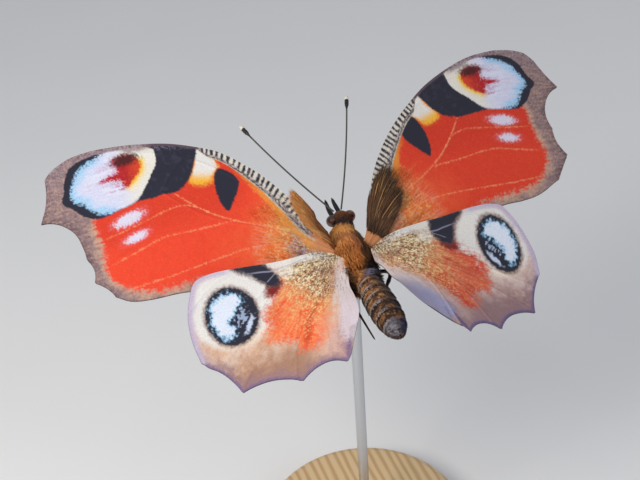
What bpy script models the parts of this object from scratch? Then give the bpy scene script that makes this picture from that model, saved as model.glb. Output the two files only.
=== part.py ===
"""Peacock butterfly (Aglais io) in flight, held by a small display stand.

Lengths are in millimetres in this file and become metres when a mesh is made.
The wing frame has +X to the animal's right, +Y forward and +Z up, with its
origin between the wing roots, WING_LEVEL above the surface the stand rests on.
"""

import math

import bmesh
import bpy
import numpy as np
from mathutils import Vector
from mathutils.geometry import delaunay_2d_cdt

MM = 0.001
GAP = 0.3                 # clearance between touching pieces

# Stand
WING_LEVEL = 40.0         # height of the wing frame's origin over the shelf
BASE_RADIUS = 12.0
BASE_HEIGHT = 3.5
BASE_CHAMFER = 0.6
ROD_RADIUS = 0.55

# Body
BODY_YAW = math.radians(7.2)          # head turned to the animal's right
THORAX_CENTRE = (0.0, -0.5, -0.65)
HEAD_YAW = math.radians(-5.0)
HEAD_CENTRE = (1.0, 5.1, 0.57)
HEAD_RADII = (1.0, 1.05, 1.05)
EYE_RADIUS = 0.6
EYE_OFFSET = (0.82, 0.1, 0.06)
ABDOMEN_ROOT = (0.1, -3.2, -0.35)
ABDOMEN_TIP = (-0.1, -13.2, -0.05)

# Wings: one height surface each, the same on both sides
WING_THICKNESS = 0.62     # measured straight up, half a millimetre square to the sloping sheet
WING_PITCH = 0.687        # rise of the forewing per millimetre forward
FORE_ROOT_HEIGHT = 1.3
FORE_DROOP = 0.035
FORE_ARCH = 0.5           # how far the forewing has curved down at ARCH_SPAN
ARCH_SPAN = 26.0
# The forewing's hind edge passes this much lower, under the hindwing
TRAILING_DROP = {"left": 1.0, "right": 0.6}
HIND_PITCH = 0.366
HIND_DROOP = 0.35
HIND_HEIGHT = 4.23
# Height of the hindwing's front edge over the forewing
HIND_OVER_FORE = {"left": 1.22, "right": 0.92}
FOLD_SOFTNESS = 0.45
HUMP_HEIGHT = 2.0         # the hindwings' inner edges ride up beside the abdomen
HUMP_WIDTH = 3.5
ROOT_DIP = 1.9            # the hindwing's root comes down to the side of the thorax
ROOT_DIP_PLACE = (1.2, -3.3)
ROOT_DIP_WIDTH = 3.2
FORE_LAG = math.radians(4.5)          # the left forewing is swept back by this
HIND_LAG = math.radians(1.5)
LAG_CENTRE = (2.0, 0.0)
RIDGE_HEIGHT = 0.2        # a vein over the membrane
RIDGE_HALF_WIDTH = 0.4
FILL_SPACING = 2.3


def smooth_step(start, end, value):
    """0 before start, 1 after end, with an S-shaped rise between."""
    part = np.clip((value - start) / (end - start), 0.0, 1.0)
    return part * part * (3.0 - 2.0 * part)


def fore_slope(x, y):
    """The forewing's sloping, slightly arched sheet, without its lowered hind edge."""
    return FORE_ROOT_HEIGHT - FORE_DROOP * x + WING_PITCH * y - FORE_ARCH * (x / ARCH_SPAN) ** 2


def fore_surface(x, y, word):
    """Height of the forewing's middle sheet at distance x from the midline."""
    drop = TRAILING_DROP[word] * smooth_step(2.0, -2.0, y) * smooth_step(5.0, 10.0, x)
    return fore_slope(x, y) - drop


def hind_surface(x, y, word):
    """Height of the hindwing: a drooping plane that bends up to lie on the forewing.

    A smooth maximum joins the plane to the forewing's slope. A hump along the
    abdomen and a dip at the root are added.
    """
    plane = HIND_HEIGHT - HIND_DROOP * x + HIND_PITCH * y
    over = fore_slope(x, y) + HIND_OVER_FORE[word]
    top = np.maximum(plane, over)
    low = np.minimum(plane, over)
    sheet = top + FOLD_SOFTNESS * np.log1p(np.exp((low - top) / FOLD_SOFTNESS))
    hump = HUMP_HEIGHT * np.exp(-(x / HUMP_WIDTH) ** 2) * smooth_step(-5.0, -10.0, y)
    away = (x - ROOT_DIP_PLACE[0]) ** 2 + (y - ROOT_DIP_PLACE[1]) ** 2
    return sheet + hump - ROOT_DIP * np.exp(-away / ROOT_DIP_WIDTH ** 2)


# Outlines: smooth runs through their points, and scallops from tooth to tooth
FORE_COSTA = [(0.9, -0.4), (1.9, 0.5), (2.6, 2.4), (3.7, 4.6), (5.4, 7.0), (7.6, 9.2), (9.9, 11.0),
              (12.7, 12.5), (16.0, 13.65), (19.3, 14.25), (22.3, 14.25), (24.3, 13.85), (25.4, 13.3)]
FORE_TEETH = [((25.4, 13.3), 0.35), ((27.05, 9.85), 0.7), ((24.5, 7.6), 0.12), ((24.2, 5.7), 0.3),
              ((24.75, 3.8), 0.1), ((22.9, 1.95), 0.0)]
FORE_INNER = [(22.9, 1.95), (21.6, 1.4), (20.2, 1.05), (18.6, 0.8), (16.2, 0.6), (13.0, 0.0),
              (10.0, -0.8), (7.0, -1.6), (4.0, -2.1), (1.8, -1.9), (0.4, -1.2)]
HIND_COSTA = [(1.4, -2.0), (2.2, -1.6), (3.8, -1.1), (6.5, -0.65), (9.2, -0.25), (11.5, 0.05),
              (13.8, 0.3), (15.2, 0.15), (16.1, -0.6), (16.85, -2.0), (17.2, -3.6), (17.25, -5.0),
              (17.0, -6.5)]
HIND_TEETH = [((17.0, -6.5), 0.12), ((15.8, -7.6), 0.35), ((14.5, -10.05), 0.75), ((9.8, -11.85), 0.6),
              ((6.3, -12.3), 0.35), ((4.6, -10.1), 0.0)]
HIND_INNER = [(4.6, -10.1), (3.6, -10.1), (2.6, -9.2), (2.15, -7.6), (2.05, -6.2), (1.8, -4.6),
              (1.4, -3.6)]

FORE_VEINS = [
    [(1.8, 1.0), (4.6, 4.6), (8.0, 8.0), (12.0, 11.0), (16.5, 12.7), (21.0, 13.2), (24.6, 12.7)],
    [(1.8, -0.4), (4.8, 1.9), (8.0, 4.0), (10.7, 5.4), (13.2, 7.3), (15.2, 8.9)],
    [(12.0, 11.0), (13.5, 10.2), (15.2, 8.9)],
    [(13.5, 10.2), (17.5, 10.6), (22.0, 10.6), (26.4, 9.9)],
    [(13.2, 7.3), (16.0, 7.7), (20.0, 7.4), (24.0, 6.8)],
    [(10.7, 5.4), (14.5, 5.4), (19.0, 5.6), (24.3, 4.1)],
    [(1.9, -0.8), (5.0, 0.8), (9.0, 1.9), (14.0, 2.2), (19.0, 2.5), (22.3, 2.3)],
]
HIND_VEINS = [
    [(1.8, -2.4), (6.3, -1.9), (10.0, -1.5), (14.0, -1.7), (16.6, -2.4)],
    [(6.3, -1.9), (9.5, -3.2), (13.0, -4.1), (16.9, -5.2)],
    [(1.8, -2.8), (4.2, -3.6), (6.3, -4.4), (10.0, -6.4), (14.2, -9.6)],
    [(9.5, -3.2), (12.2, -5.5), (15.5, -7.4)],
    [(6.3, -4.4), (8.3, -7.6), (9.7, -11.3)],
    [(4.2, -3.6), (5.6, -7.6), (6.3, -11.7)],
]


def clear_scene():
    for item in list(bpy.data.objects):
        bpy.data.objects.remove(item, do_unlink=True)


def make_material(name, colour, roughness, metallic=0.0):
    """A Principled surface in one colour, given as linear values."""
    material = bpy.data.materials.new(name)
    material.use_nodes = True
    shader = material.node_tree.nodes["Principled BSDF"]
    shader.inputs["Base Color"].default_value = (*colour, 1.0)
    shader.inputs["Roughness"].default_value = roughness
    shader.inputs["Metallic"].default_value = metallic
    material.diffuse_color = (*colour, 1.0)
    return material


def new_object(name, points, faces, material, smooth=True):
    """Make an object from points in the wing frame, in millimetres."""
    mesh = bpy.data.meshes.new(name)
    lifted = [(x * MM, y * MM, (z + WING_LEVEL) * MM) for x, y, z in points]
    mesh.from_pydata(lifted, [], faces)
    mesh.validate()
    mesh.materials.append(material)
    item = bpy.data.objects.new(name, mesh)
    bpy.context.scene.collection.objects.link(item)
    if smooth:
        mesh.shade_smooth()
    return item


def apply_modifiers(item):
    """Replace the mesh by what its modifiers make of it."""
    depsgraph = bpy.context.evaluated_depsgraph_get()
    result = bpy.data.meshes.new_from_object(item.evaluated_get(depsgraph))
    item.modifiers.clear()
    item.data = result


def keep_largest(item):
    """Keep the largest closed surface of a mesh, in triangles."""
    work = bmesh.new()
    work.from_mesh(item.data)
    bmesh.ops.remove_doubles(work, verts=work.verts, dist=0.002 * MM)
    bmesh.ops.dissolve_degenerate(work, edges=work.edges, dist=0.002 * MM)
    bmesh.ops.triangulate(work, faces=work.faces)
    waiting = set(work.faces)
    groups = []
    while waiting:
        stack = [waiting.pop()]
        group = []
        while stack:
            face = stack.pop()
            group.append(face)
            for edge in face.edges:
                for other in edge.link_faces:
                    if other in waiting:
                        waiting.remove(other)
                        stack.append(other)
        groups.append(group)
    groups.sort(key=lambda faces: sum(face.calc_area() for face in faces))
    for group in groups[:-1]:
        bmesh.ops.delete(work, geom=group, context="FACES")
    loose = [vertex for vertex in work.verts if not vertex.link_faces]
    bmesh.ops.delete(work, geom=loose, context="VERTS")
    bmesh.ops.recalc_face_normals(work, faces=work.faces)
    work.to_mesh(item.data)
    work.free()


def cut_clear(item, *cutters):
    """Cut an object clear of its neighbours' enlarged copies and remove those."""
    for cutter in cutters:
        cutter.hide_render = True
        cutter.display_type = "WIRE"
        modifier = item.modifiers.new("clear", "BOOLEAN")
        modifier.operation = "DIFFERENCE"
        modifier.solver = "EXACT"
        modifier.object = cutter
        apply_modifiers(item)
    keep_largest(item)


def fuse(item, pieces):
    """Join closed pieces to an object with one Boolean union on a collection."""
    group = bpy.data.collections.new("pieces")
    bpy.context.scene.collection.children.link(group)
    for piece in pieces:
        group.objects.link(piece)
    modifier = item.modifiers.new("union", "BOOLEAN")
    modifier.operation = "UNION"
    modifier.solver = "EXACT"
    modifier.operand_type = "COLLECTION"
    modifier.collection = group
    apply_modifiers(item)
    for piece in pieces:
        bpy.data.objects.remove(piece, do_unlink=True)
    bpy.data.collections.remove(group)
    keep_largest(item)


def smooth_curve(points, steps):
    """Points on a Catmull-Rom curve through the given points, steps to a span."""
    points = np.array(points, dtype=float)
    padded = np.vstack([2 * points[0] - points[1], points, 2 * points[-1] - points[-2]])
    run = []
    for index in range(1, len(padded) - 2):
        before, here, after, beyond = padded[index - 1:index + 3]
        for step in range(steps):
            t = step / steps
            run.append(0.5 * (2 * here + (after - before) * t
                              + (2 * before - 5 * here + 4 * after - beyond) * t ** 2
                              + (3 * here - before - 3 * after + beyond) * t ** 3))
    run.append(points[-1])
    return np.array(run)


def scallops(teeth, steps):
    """Arcs from tooth to tooth; each sags inwards by the depth given with its first tooth."""
    run = []
    for (first, sag), (second, _) in zip(teeth[:-1], teeth[1:]):
        first = np.array(first)
        second = np.array(second)
        along = second - first
        inward = np.array([along[1], -along[0]]) / np.linalg.norm(along)
        for step in range(steps):
            t = step / steps
            run.append(first + along * t + inward * sag * 4.0 * t * (1.0 - t))
    return np.array(run)


def wing_outline(costa, teeth, inner):
    """One closed outline, clockwise from the root along the front edge."""
    return np.vstack([smooth_curve(costa, 2)[:-1], scallops(teeth, 4), smooth_curve(inner, 2)])


def spaced(points, spacing):
    """Points at even distances along a polyline, ends included."""
    lengths = np.hypot(*np.diff(points, axis=0).T)
    travel = np.concatenate([[0.0], np.cumsum(lengths)])
    count = max(2, int(round(travel[-1] / spacing)) + 1)
    wanted = np.linspace(0.0, travel[-1], count)
    return np.column_stack([np.interp(wanted, travel, points[:, axis]) for axis in (0, 1)])


def distance_to(points, run):
    """Distance from each point to a polyline."""
    best = np.full(len(points), np.inf)
    for first, second in zip(run[:-1], run[1:]):
        along = second - first
        part = np.clip(((points - first) @ along) / (along @ along), 0.0, 1.0)
        best = np.minimum(best, np.linalg.norm(points - first - part[:, None] * along, axis=1))
    return best


def inside(points, outline):
    """Whether each point lies inside a closed outline, by crossings of a ray."""
    result = np.zeros(len(points), dtype=bool)
    for first, second in zip(outline, np.roll(outline, -1, axis=0)):
        crosses = (first[1] > points[:, 1]) != (second[1] > points[:, 1])
        rise = second[1] - first[1] if second[1] != first[1] else 1e-9
        at = first[0] + (points[:, 1] - first[1]) / rise * (second[0] - first[0])
        result ^= crosses & (points[:, 0] < at)
    return result


def wing_layout(outline, veins):
    """Flat points and triangles of a wing, with the height of its veins at each point."""
    runs = [spaced(smooth_curve(vein, 6), 1.9) for vein in veins]
    ridges = []
    flanks = []
    for run in runs:
        ridges.extend(run)
        tangent = np.gradient(run, axis=0)
        normal = np.column_stack([-tangent[:, 1], tangent[:, 0]])
        normal /= np.linalg.norm(normal, axis=1)[:, None]
        for side in (-1.0, 1.0):
            flanks.extend(run + side * RIDGE_HALF_WIDTH * normal)
    low, high = outline.min(axis=0), outline.max(axis=0)
    rows = np.arange(low[1], high[1], FILL_SPACING * 0.87)
    fill = []
    for index, row in enumerate(rows):
        start = low[0] + (FILL_SPACING / 2 if index % 2 else 0.0)
        fill.extend((x, row) for x in np.arange(start, high[0], FILL_SPACING))
    flanks = np.array(flanks)
    fill = np.array(fill)
    edge = np.vstack([outline, outline[:1]])
    nearest_vein = np.min([distance_to(flanks, run) for run in runs], axis=0)
    flanks = flanks[(nearest_vein > RIDGE_HALF_WIDTH * 0.9) & inside(flanks, outline)
                    & (distance_to(flanks, edge) > 0.25)]
    clear_of_veins = np.min([distance_to(fill, run) for run in runs], axis=0)
    fill = fill[(clear_of_veins > 1.1) & inside(fill, outline) & (distance_to(fill, edge) > 0.9)]
    ridges = np.array(ridges)
    ridges = ridges[inside(ridges, outline) & (distance_to(ridges, edge) > 0.25)]
    points = np.vstack([outline, ridges, flanks, fill])
    loop = list(range(len(outline)))
    result = delaunay_2d_cdt([Vector(point) for point in points], [], [loop], 1, 1e-5)
    flat = np.array([tuple(point) for point in result[0]])
    distance = np.min([distance_to(flat, run) for run in runs], axis=0)
    height = RIDGE_HEIGHT * np.clip(1.0 - distance / RIDGE_HALF_WIDTH, 0.0, 1.0)
    height[distance_to(flat, edge) < 0.2] = 0.0
    triangles = []
    for face in result[2]:
        corners = flat[list(face)]
        area = np.cross(corners[1] - corners[0], corners[2] - corners[0])
        triangles.append(tuple(face) if area > 0 else tuple(reversed(face)))
    return flat, triangles, height


def wing(kind, word, outline, veins, surface, lag, material):
    """A closed sheet with veins raised in its upper face, alike triangles on both faces."""
    flat, triangles, ridge = wing_layout(outline, veins)
    middle = surface(flat[:, 0], flat[:, 1], word)
    upper = np.column_stack([flat, middle + WING_THICKNESS / 2 + ridge])
    lower = np.column_stack([flat, middle - WING_THICKNESS / 2])
    points = np.vstack([upper, lower])
    count = len(flat)
    faces = list(triangles) + [(a + count, c + count, b + count) for a, b, c in triangles]
    open_edges = {}
    for a, b, c in triangles:
        for first, second in ((a, b), (b, c), (c, a)):
            if (second, first) in open_edges:
                del open_edges[(second, first)]
            else:
                open_edges[(first, second)] = True
    for first, second in open_edges:
        faces.append((second, first, first + count))
        faces.append((second, first + count, second + count))
    if word == "left":
        offset_x = points[:, 0] - LAG_CENTRE[0]
        offset_y = points[:, 1] - LAG_CENTRE[1]
        points[:, 0] = LAG_CENTRE[0] + math.cos(lag) * offset_x + math.sin(lag) * offset_y
        points[:, 1] = LAG_CENTRE[1] - math.sin(lag) * offset_x + math.cos(lag) * offset_y
        points[:, 0] *= -1.0
        faces = [tuple(reversed(face)) for face in faces]
    return new_object(kind + "_" + word, points, faces, material, smooth=False)


def tube(name, path, radii, sides, material, flatten=1.0):
    """A closed tube along a path, with a radius at each point and rounded-off ends.

    flatten squeezes it sideways to the first frame's second axis.
    """
    path = np.array(path, dtype=float)
    tangents = np.gradient(path, axis=0)
    tangents /= np.linalg.norm(tangents, axis=1)[:, None]
    guide = np.array([0.0, 0.0, 1.0]) if abs(tangents[0][2]) < 0.9 else np.array([1.0, 0.0, 0.0])
    angles = np.linspace(0.0, 2.0 * math.pi, sides, endpoint=False)
    points = []
    across = np.cross(tangents[0], guide)
    for place, tangent, radius in zip(path, tangents, radii):
        across = across - tangent * (across @ tangent)
        across /= np.linalg.norm(across)
        upward = np.cross(across, tangent)
        for angle in angles:
            points.append(place + radius * (math.cos(angle) * across
                                            + flatten * math.sin(angle) * upward))
    faces = []
    for ring in range(len(path) - 1):
        for index in range(sides):
            following = (index + 1) % sides
            base = ring * sides
            faces.append((base + index, base + following, base + sides + following,
                          base + sides + index))
    points.append(path[0])
    points.append(path[-1])
    first_cap, last_cap = len(points) - 2, len(points) - 1
    last = (len(path) - 1) * sides
    for index in range(sides):
        following = (index + 1) % sides
        faces.append((first_cap, following, index))
        faces.append((last_cap, last + index, last + following))
    item = new_object(name, points, faces, material)
    keep_largest(item)
    return item


def body_axis(yaw=BODY_YAW):
    """Unit vectors of the thorax, or of the head: forward, to its right, and up."""
    forward = np.array([math.sin(yaw), math.cos(yaw), 0.04])
    forward /= np.linalg.norm(forward)
    right = np.cross(forward, (0.0, 0.0, 1.0))
    right /= np.linalg.norm(right)
    return forward, right, np.cross(right, forward)


def loft(name, centres, half_widths, half_heights, right, up, sides, material, grow=0.0):
    """A closed body of elliptical rings round a line of centres, enlarged by grow."""
    points = []
    for centre, width, height in zip(centres, half_widths, half_heights):
        for index in range(sides):
            angle = 2.0 * math.pi * index / sides
            points.append(np.array(centre) + (width + grow) * math.cos(angle) * right
                          + (height + grow) * math.sin(angle) * up)
    forward = np.array(centres[-1]) - np.array(centres[0])
    forward /= np.linalg.norm(forward)
    faces = []
    for ring in range(len(centres) - 1):
        for index in range(sides):
            following = (index + 1) % sides
            base = ring * sides
            faces.append((base + index, base + sides + index, base + sides + following,
                          base + following))
    points.append(np.array(centres[0]) - forward * grow)
    points.append(np.array(centres[-1]) + forward * grow)
    start, end = len(points) - 2, len(points) - 1
    last = (len(centres) - 1) * sides
    for index in range(sides):
        following = (index + 1) % sides
        faces.append((start, index, following))
        faces.append((end, last + following, last + index))
    item = new_object(name, points, faces, material)
    keep_largest(item)
    return item


# Distance along the thorax from its centre, half width, half height, rise over its axis
THORAX_STATIONS = [(-4.0, 0.35, 0.35, 0.2), (-3.8, 1.0, 0.9, 0.2), (-3.1, 1.45, 1.4, 0.2),
                   (-2.1, 1.8, 1.9, 0.1), (-0.9, 2.15, 2.3, 0.0), (0.4, 2.25, 2.45, 0.0),
                   (1.6, 2.1, 2.3, 0.0), (2.6, 1.85, 2.0, 0.1), (3.5, 1.6, 1.65, 0.35),
                   (4.1, 1.4, 1.4, 0.6), (4.5, 1.1, 1.1, 0.75), (4.7, 0.5, 0.5, 0.8)]
# Part of the way from root to tip of the abdomen, radius
ABDOMEN_STATIONS = [(0.0, 0.9), (0.08, 1.2), (0.2, 1.38), (0.35, 1.53), (0.5, 1.61), (0.65, 1.58),
                    (0.78, 1.45), (0.88, 1.2), (0.95, 0.85), (1.0, 0.4)]
ABDOMEN_RINGS = 7
RING_STEP = 0.1           # how far a ring's hind edge stands over the next ring


def thorax_body(name, material, grow=0.0):
    """The thorax: rings along its axis, wider in the middle."""
    forward, right, up = body_axis()
    centre = np.array(THORAX_CENTRE)
    places = [centre + forward * station[0] * (1.0 + grow / 4.0) + up * station[3]
              for station in THORAX_STATIONS]
    widths = [station[1] for station in THORAX_STATIONS]
    heights = [station[2] for station in THORAX_STATIONS]
    return loft(name, places, widths, heights, right, up, 20, material, grow)


def ellipsoid(name, centre, radii, material, grow=0.0, segments=16, rings=10):
    """A sphere stretched along the body's own axes."""
    forward, right, up = body_axis()
    points = []
    for ring in range(rings + 1):
        tilt = math.pi * ring / rings
        for index in range(segments):
            angle = 2.0 * math.pi * index / segments
            points.append(np.array(centre)
                          + (radii[0] + grow) * math.sin(tilt) * math.cos(angle) * right
                          - (radii[1] + grow) * math.cos(tilt) * forward
                          + (radii[2] + grow) * math.sin(tilt) * math.sin(angle) * up)
    faces = []
    for ring in range(rings):
        for index in range(segments):
            following = (index + 1) % segments
            base = ring * segments
            faces.append((base + index, base + segments + index, base + segments + following,
                          base + following))
    item = new_object(name, points, faces, material)
    keep_largest(item)
    return item


def on_head(offset, side):
    """A place given from the head's centre as sideways, forward and up."""
    forward, right, up = body_axis(HEAD_YAW)
    return (np.array(HEAD_CENTRE) + side * offset[0] * right + offset[1] * forward
            + offset[2] * up)


def build_abdomen(material):
    """Seven rings, each a little wider at its hind edge, tapering to a blunt tip."""
    root = np.array(ABDOMEN_ROOT)
    tip = np.array(ABDOMEN_TIP)
    along = (tip - root) / np.linalg.norm(tip - root)
    right = np.cross((0.0, 0.0, 1.0), along)
    right /= np.linalg.norm(right)
    up = np.cross(along, right)
    parts = [station[0] for station in ABDOMEN_STATIONS]
    radii = [station[1] for station in ABDOMEN_STATIONS]
    wanted = np.linspace(0.0, 0.9, ABDOMEN_RINGS * 3 + 1)
    wanted = np.concatenate([wanted, [0.94, 0.975, 1.0]])
    swell = RING_STEP * ((wanted * ABDOMEN_RINGS / 0.9) % 1.0) * (wanted < 0.9)
    sizes = np.interp(wanted, parts, radii) + swell
    centres = [root + (tip - root) * part for part in wanted]
    return loft("abdomen", centres, sizes, sizes, right, up, 20, material)


# A shoulder bulges from the thorax below each forewing's root
SHOULDER_PLACE = (1.25, 1.1, 0.75)
SHOULDER_RADII = (1.0, 1.3, 0.9)

# Hair over each wing base: roots and tips of its locks, from the midline, forward and up
HAIR_ROOTS = [(1.5, 2.0, 1.2), (1.6, 1.75, 1.3), (1.65, 1.5, 1.35), (1.7, 1.25, 1.35),
              (1.65, 1.0, 1.3)]
HAIR_TIPS = {
    "left": [(4.5, 4.0, 6.2), (4.6, 3.5, 5.7), (4.4, 3.0, 5.1), (4.0, 2.3, 4.4), (3.3, 1.5, 3.4)],
    "right": [(5.8, 4.4, 6.0), (6.3, 3.4, 5.1), (6.7, 2.5, 4.5), (6.1, 1.6, 3.7), (5.0, 0.5, 2.7)],
}
LOCK_WIDTH = 0.5
LOCK_FLATNESS = 0.5
LOCK_BEND = 0.35          # part of the way out at which a lock turns to lie over the wing
LOCK_RISE = 0.3           # height of that bend over the lowest way past the wing


def lowest_way(points):
    """Lowest height at which a lock's middle passes over the forewing."""
    wing_top = fore_slope(points[:, 0], points[:, 1]) + WING_THICKNESS / 2 + RIDGE_HEIGHT
    return wing_top + 1.3 * GAP + LOCK_WIDTH * LOCK_FLATNESS


def hair_lock(name, root, tip, side, material, grow=0.0):
    """One flat, tapered lock that bends over from its root in the shoulder to its tip."""
    start = np.array(root)
    end = np.array(tip)
    bend = start + LOCK_BEND * (end - start)
    bend[2] = lowest_way(bend[None, :])[0] + LOCK_RISE
    points = quadratic(start, bend, end, 8)
    points[3:, 2] = np.maximum(points[3:, 2], lowest_way(points)[3:])
    points *= np.array([side, 1.0, 1.0])
    radii = LOCK_WIDTH * np.array([0.8, 0.85, 0.95, 1.0, 0.95, 0.8, 0.5, 0.12]) + grow
    flatness = (LOCK_WIDTH * LOCK_FLATNESS + grow) / (LOCK_WIDTH + grow)
    return tube(name, points, radii, 6, material, flatten=flatness)


def hair_locks(name, material, grow=0.0):
    """All locks over both wing bases."""
    locks = []
    for side, word in ((-1.0, "left"), (1.0, "right")):
        for root, tip in zip(HAIR_ROOTS, HAIR_TIPS[word]):
            locks.append(hair_lock(name, root, tip, side, material, grow))
    return locks


def shoulder(name, side, material, grow=0.0):
    """The bulge under a forewing's root."""
    place = np.array(SHOULDER_PLACE) * np.array([side, 1.0, 1.0])
    return ellipsoid(name, place, SHOULDER_RADII, material, grow)


def build_thorax(material):
    """Thorax with its shoulders and the hair that stands over the wing bases."""
    body = thorax_body("thorax", material)
    pieces = [shoulder("shoulder", side, material) for side in (-1.0, 1.0)]
    fuse(body, pieces + hair_locks("lock", material))
    return body


def build_head(material, eye_material):
    """Head, eyes, palps and coiled tongue."""
    head = ellipsoid("head", HEAD_CENTRE, HEAD_RADII, material)
    neck = thorax_body("neck_clearance", material, GAP)
    clearances = [neck]
    for side, word in ((-1.0, "left"), (1.0, "right")):
        place = on_head(EYE_OFFSET, side)
        radii = (EYE_RADIUS, EYE_RADIUS, EYE_RADIUS)
        ellipsoid("eye_" + word, place, radii, eye_material, segments=14, rings=9)
        clearances.append(ellipsoid("eye_clearance", place, radii, eye_material, GAP))
    cut_clear(head, *clearances)
    return clearances


def head_clearance(material):
    return ellipsoid("head_clearance", HEAD_CENTRE, HEAD_RADII, material, GAP)


def quadratic(start, middle, end, count):
    """Points on a simple curve from start to end, drawn towards middle."""
    start, middle, end = np.array(start), np.array(middle), np.array(end)
    steps = np.linspace(0.0, 1.0, count)[:, None]
    return (1 - steps) ** 2 * start + 2 * steps * (1 - steps) * middle + steps ** 2 * end


PALP_ROOT = (0.43, 0.6, -0.2)
PALP_TIP = (0.36, 3.1, 0.6)
ANTENNA_ROOT = (0.42, 1.0, 0.65)
ANTENNA_REACH = {"left": (-5.45, 13.3, 4.1), "right": (5.65, 13.0, 5.0)}
ANTENNA_BOW = 0.4         # sideways pull on the middle of an antenna's curve
ANTENNA_RADIUS = 0.26
CLUB_RADIUS = 0.48
CLUB_LENGTH = 1.9


def build_feelers(material):
    """Palps, antennae with their clubs, and the tongue coiled under the head."""
    made = []
    forward, right, up = body_axis()
    for side, word in ((-1.0, "left"), (1.0, "right")):
        path = quadratic(on_head(PALP_ROOT, side), on_head((0.46, 1.9, -0.35), side),
                         on_head(PALP_TIP, side), 9)
        radii = np.interp(np.linspace(0, 1, 9), [0, 0.3, 0.65, 0.9, 1], [0.26, 0.28, 0.27, 0.2, 0.08])
        made.append(tube("palp_" + word, path, radii, 8, material))
    for side, word in ((-1.0, "left"), (1.0, "right")):
        root = on_head(ANTENNA_ROOT, side)
        tip = root + ANTENNA_REACH[word]
        middle = (root + tip) / 2 + ANTENNA_BOW * side * right - ANTENNA_BOW / 2 * up
        length = np.linalg.norm(tip - root)
        steps = np.concatenate([np.linspace(0.0, 1.0 - CLUB_LENGTH / length, 9),
                                1.0 - CLUB_LENGTH / length * np.array([0.75, 0.45, 0.2, 0.06, 0.0])])
        path = np.array([(1 - t) ** 2 * root + 2 * t * (1 - t) * middle + t ** 2 * tip for t in steps])
        radii = np.array([ANTENNA_RADIUS] * 9
                         + [CLUB_RADIUS * part for part in (0.75, 1.0, 0.95, 0.6, 0.25)])
        made.append(tube("antenna_" + word, path, radii, 8, material))
    turns = np.linspace(0.0, 2.0 * math.pi * 1.35, 22)
    reach = 0.42 + 0.5 * (turns[-1] - turns) / turns[-1]
    reach = reach[::-1]
    centre = on_head((0.0, 0.95, -1.85), 1.0)
    path = [centre + radius * (math.sin(turn) * forward + math.cos(turn) * up)
            for turn, radius in zip(turns, reach)]
    made.append(tube("proboscis", path, [0.16] * len(path), 6, material))
    return made


# Legs: places from the midline, forward and up, from the thorax to the foot
LEGS = {
    "foreleg": ([(0.9, 2.2, -1.9), (1.2, 3.2, -2.7), (0.8, 4.3, -2.0), (0.6, 3.9, -2.9)],
                [0.34, 0.3, 0.26, 0.16]),
    "midleg": ([(0.9, 0.4, -2.6), (2.5, 1.5, -3.5), (1.9, -0.9, -5.1), (1.5, -3.7, -5.7)],
               [0.36, 0.32, 0.26, 0.16]),
    "hindleg": ([(0.8, -1.2, -2.3), (3.0, -2.5, -1.4), (1.6, -4.8, -2.4), (1.2, -9.4, -3.1)],
                [0.36, 0.32, 0.26, 0.16]),
}


def build_legs(material):
    """Short folded forelegs, and middle and hind legs drawn up and trailing in flight."""
    made = []
    for kind, (places, radii) in LEGS.items():
        for side, word in ((-1.0, "left"), (1.0, "right")):
            points = np.array(places) * np.array([side, 1.0, 1.0])
            path = smooth_curve(points, 4)
            sizes = np.interp(np.linspace(0, 1, len(path)), np.linspace(0, 1, len(radii)), radii)
            made.append(tube(kind + "_" + word, path, sizes, 6, material))
    return made


def build_stand(base_material, rod_material):
    """A round base with a chamfered rim, and one upright rod to the thorax."""
    floor = -WING_LEVEL
    profile = [(BASE_RADIUS - BASE_CHAMFER / 2, 0.0), (BASE_RADIUS, BASE_CHAMFER / 2),
               (BASE_RADIUS, BASE_HEIGHT - BASE_CHAMFER), (BASE_RADIUS - BASE_CHAMFER, BASE_HEIGHT)]
    sides = 64
    points = []
    for radius, height in profile:
        for index in range(sides):
            angle = 2.0 * math.pi * index / sides
            points.append((radius * math.cos(angle), radius * math.sin(angle), floor + height))
    faces = []
    for ring in range(len(profile) - 1):
        for index in range(sides):
            following = (index + 1) % sides
            base = ring * sides
            faces.append((base + index, base + following, base + sides + following,
                          base + sides + index))
    faces.append(tuple(reversed(range(sides))))
    faces.append(tuple(range((len(profile) - 1) * sides, len(profile) * sides)))
    base = new_object("stand_base", points, faces, base_material, smooth=False)
    keep_largest(base)
    x, y, z = THORAX_CENTRE
    heights = np.array([floor + BASE_HEIGHT + GAP, z])
    rod = tube("stand_rod", [(x, y, height) for height in heights], [ROD_RADIUS] * 2, 20,
               rod_material)
    return rod


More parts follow.
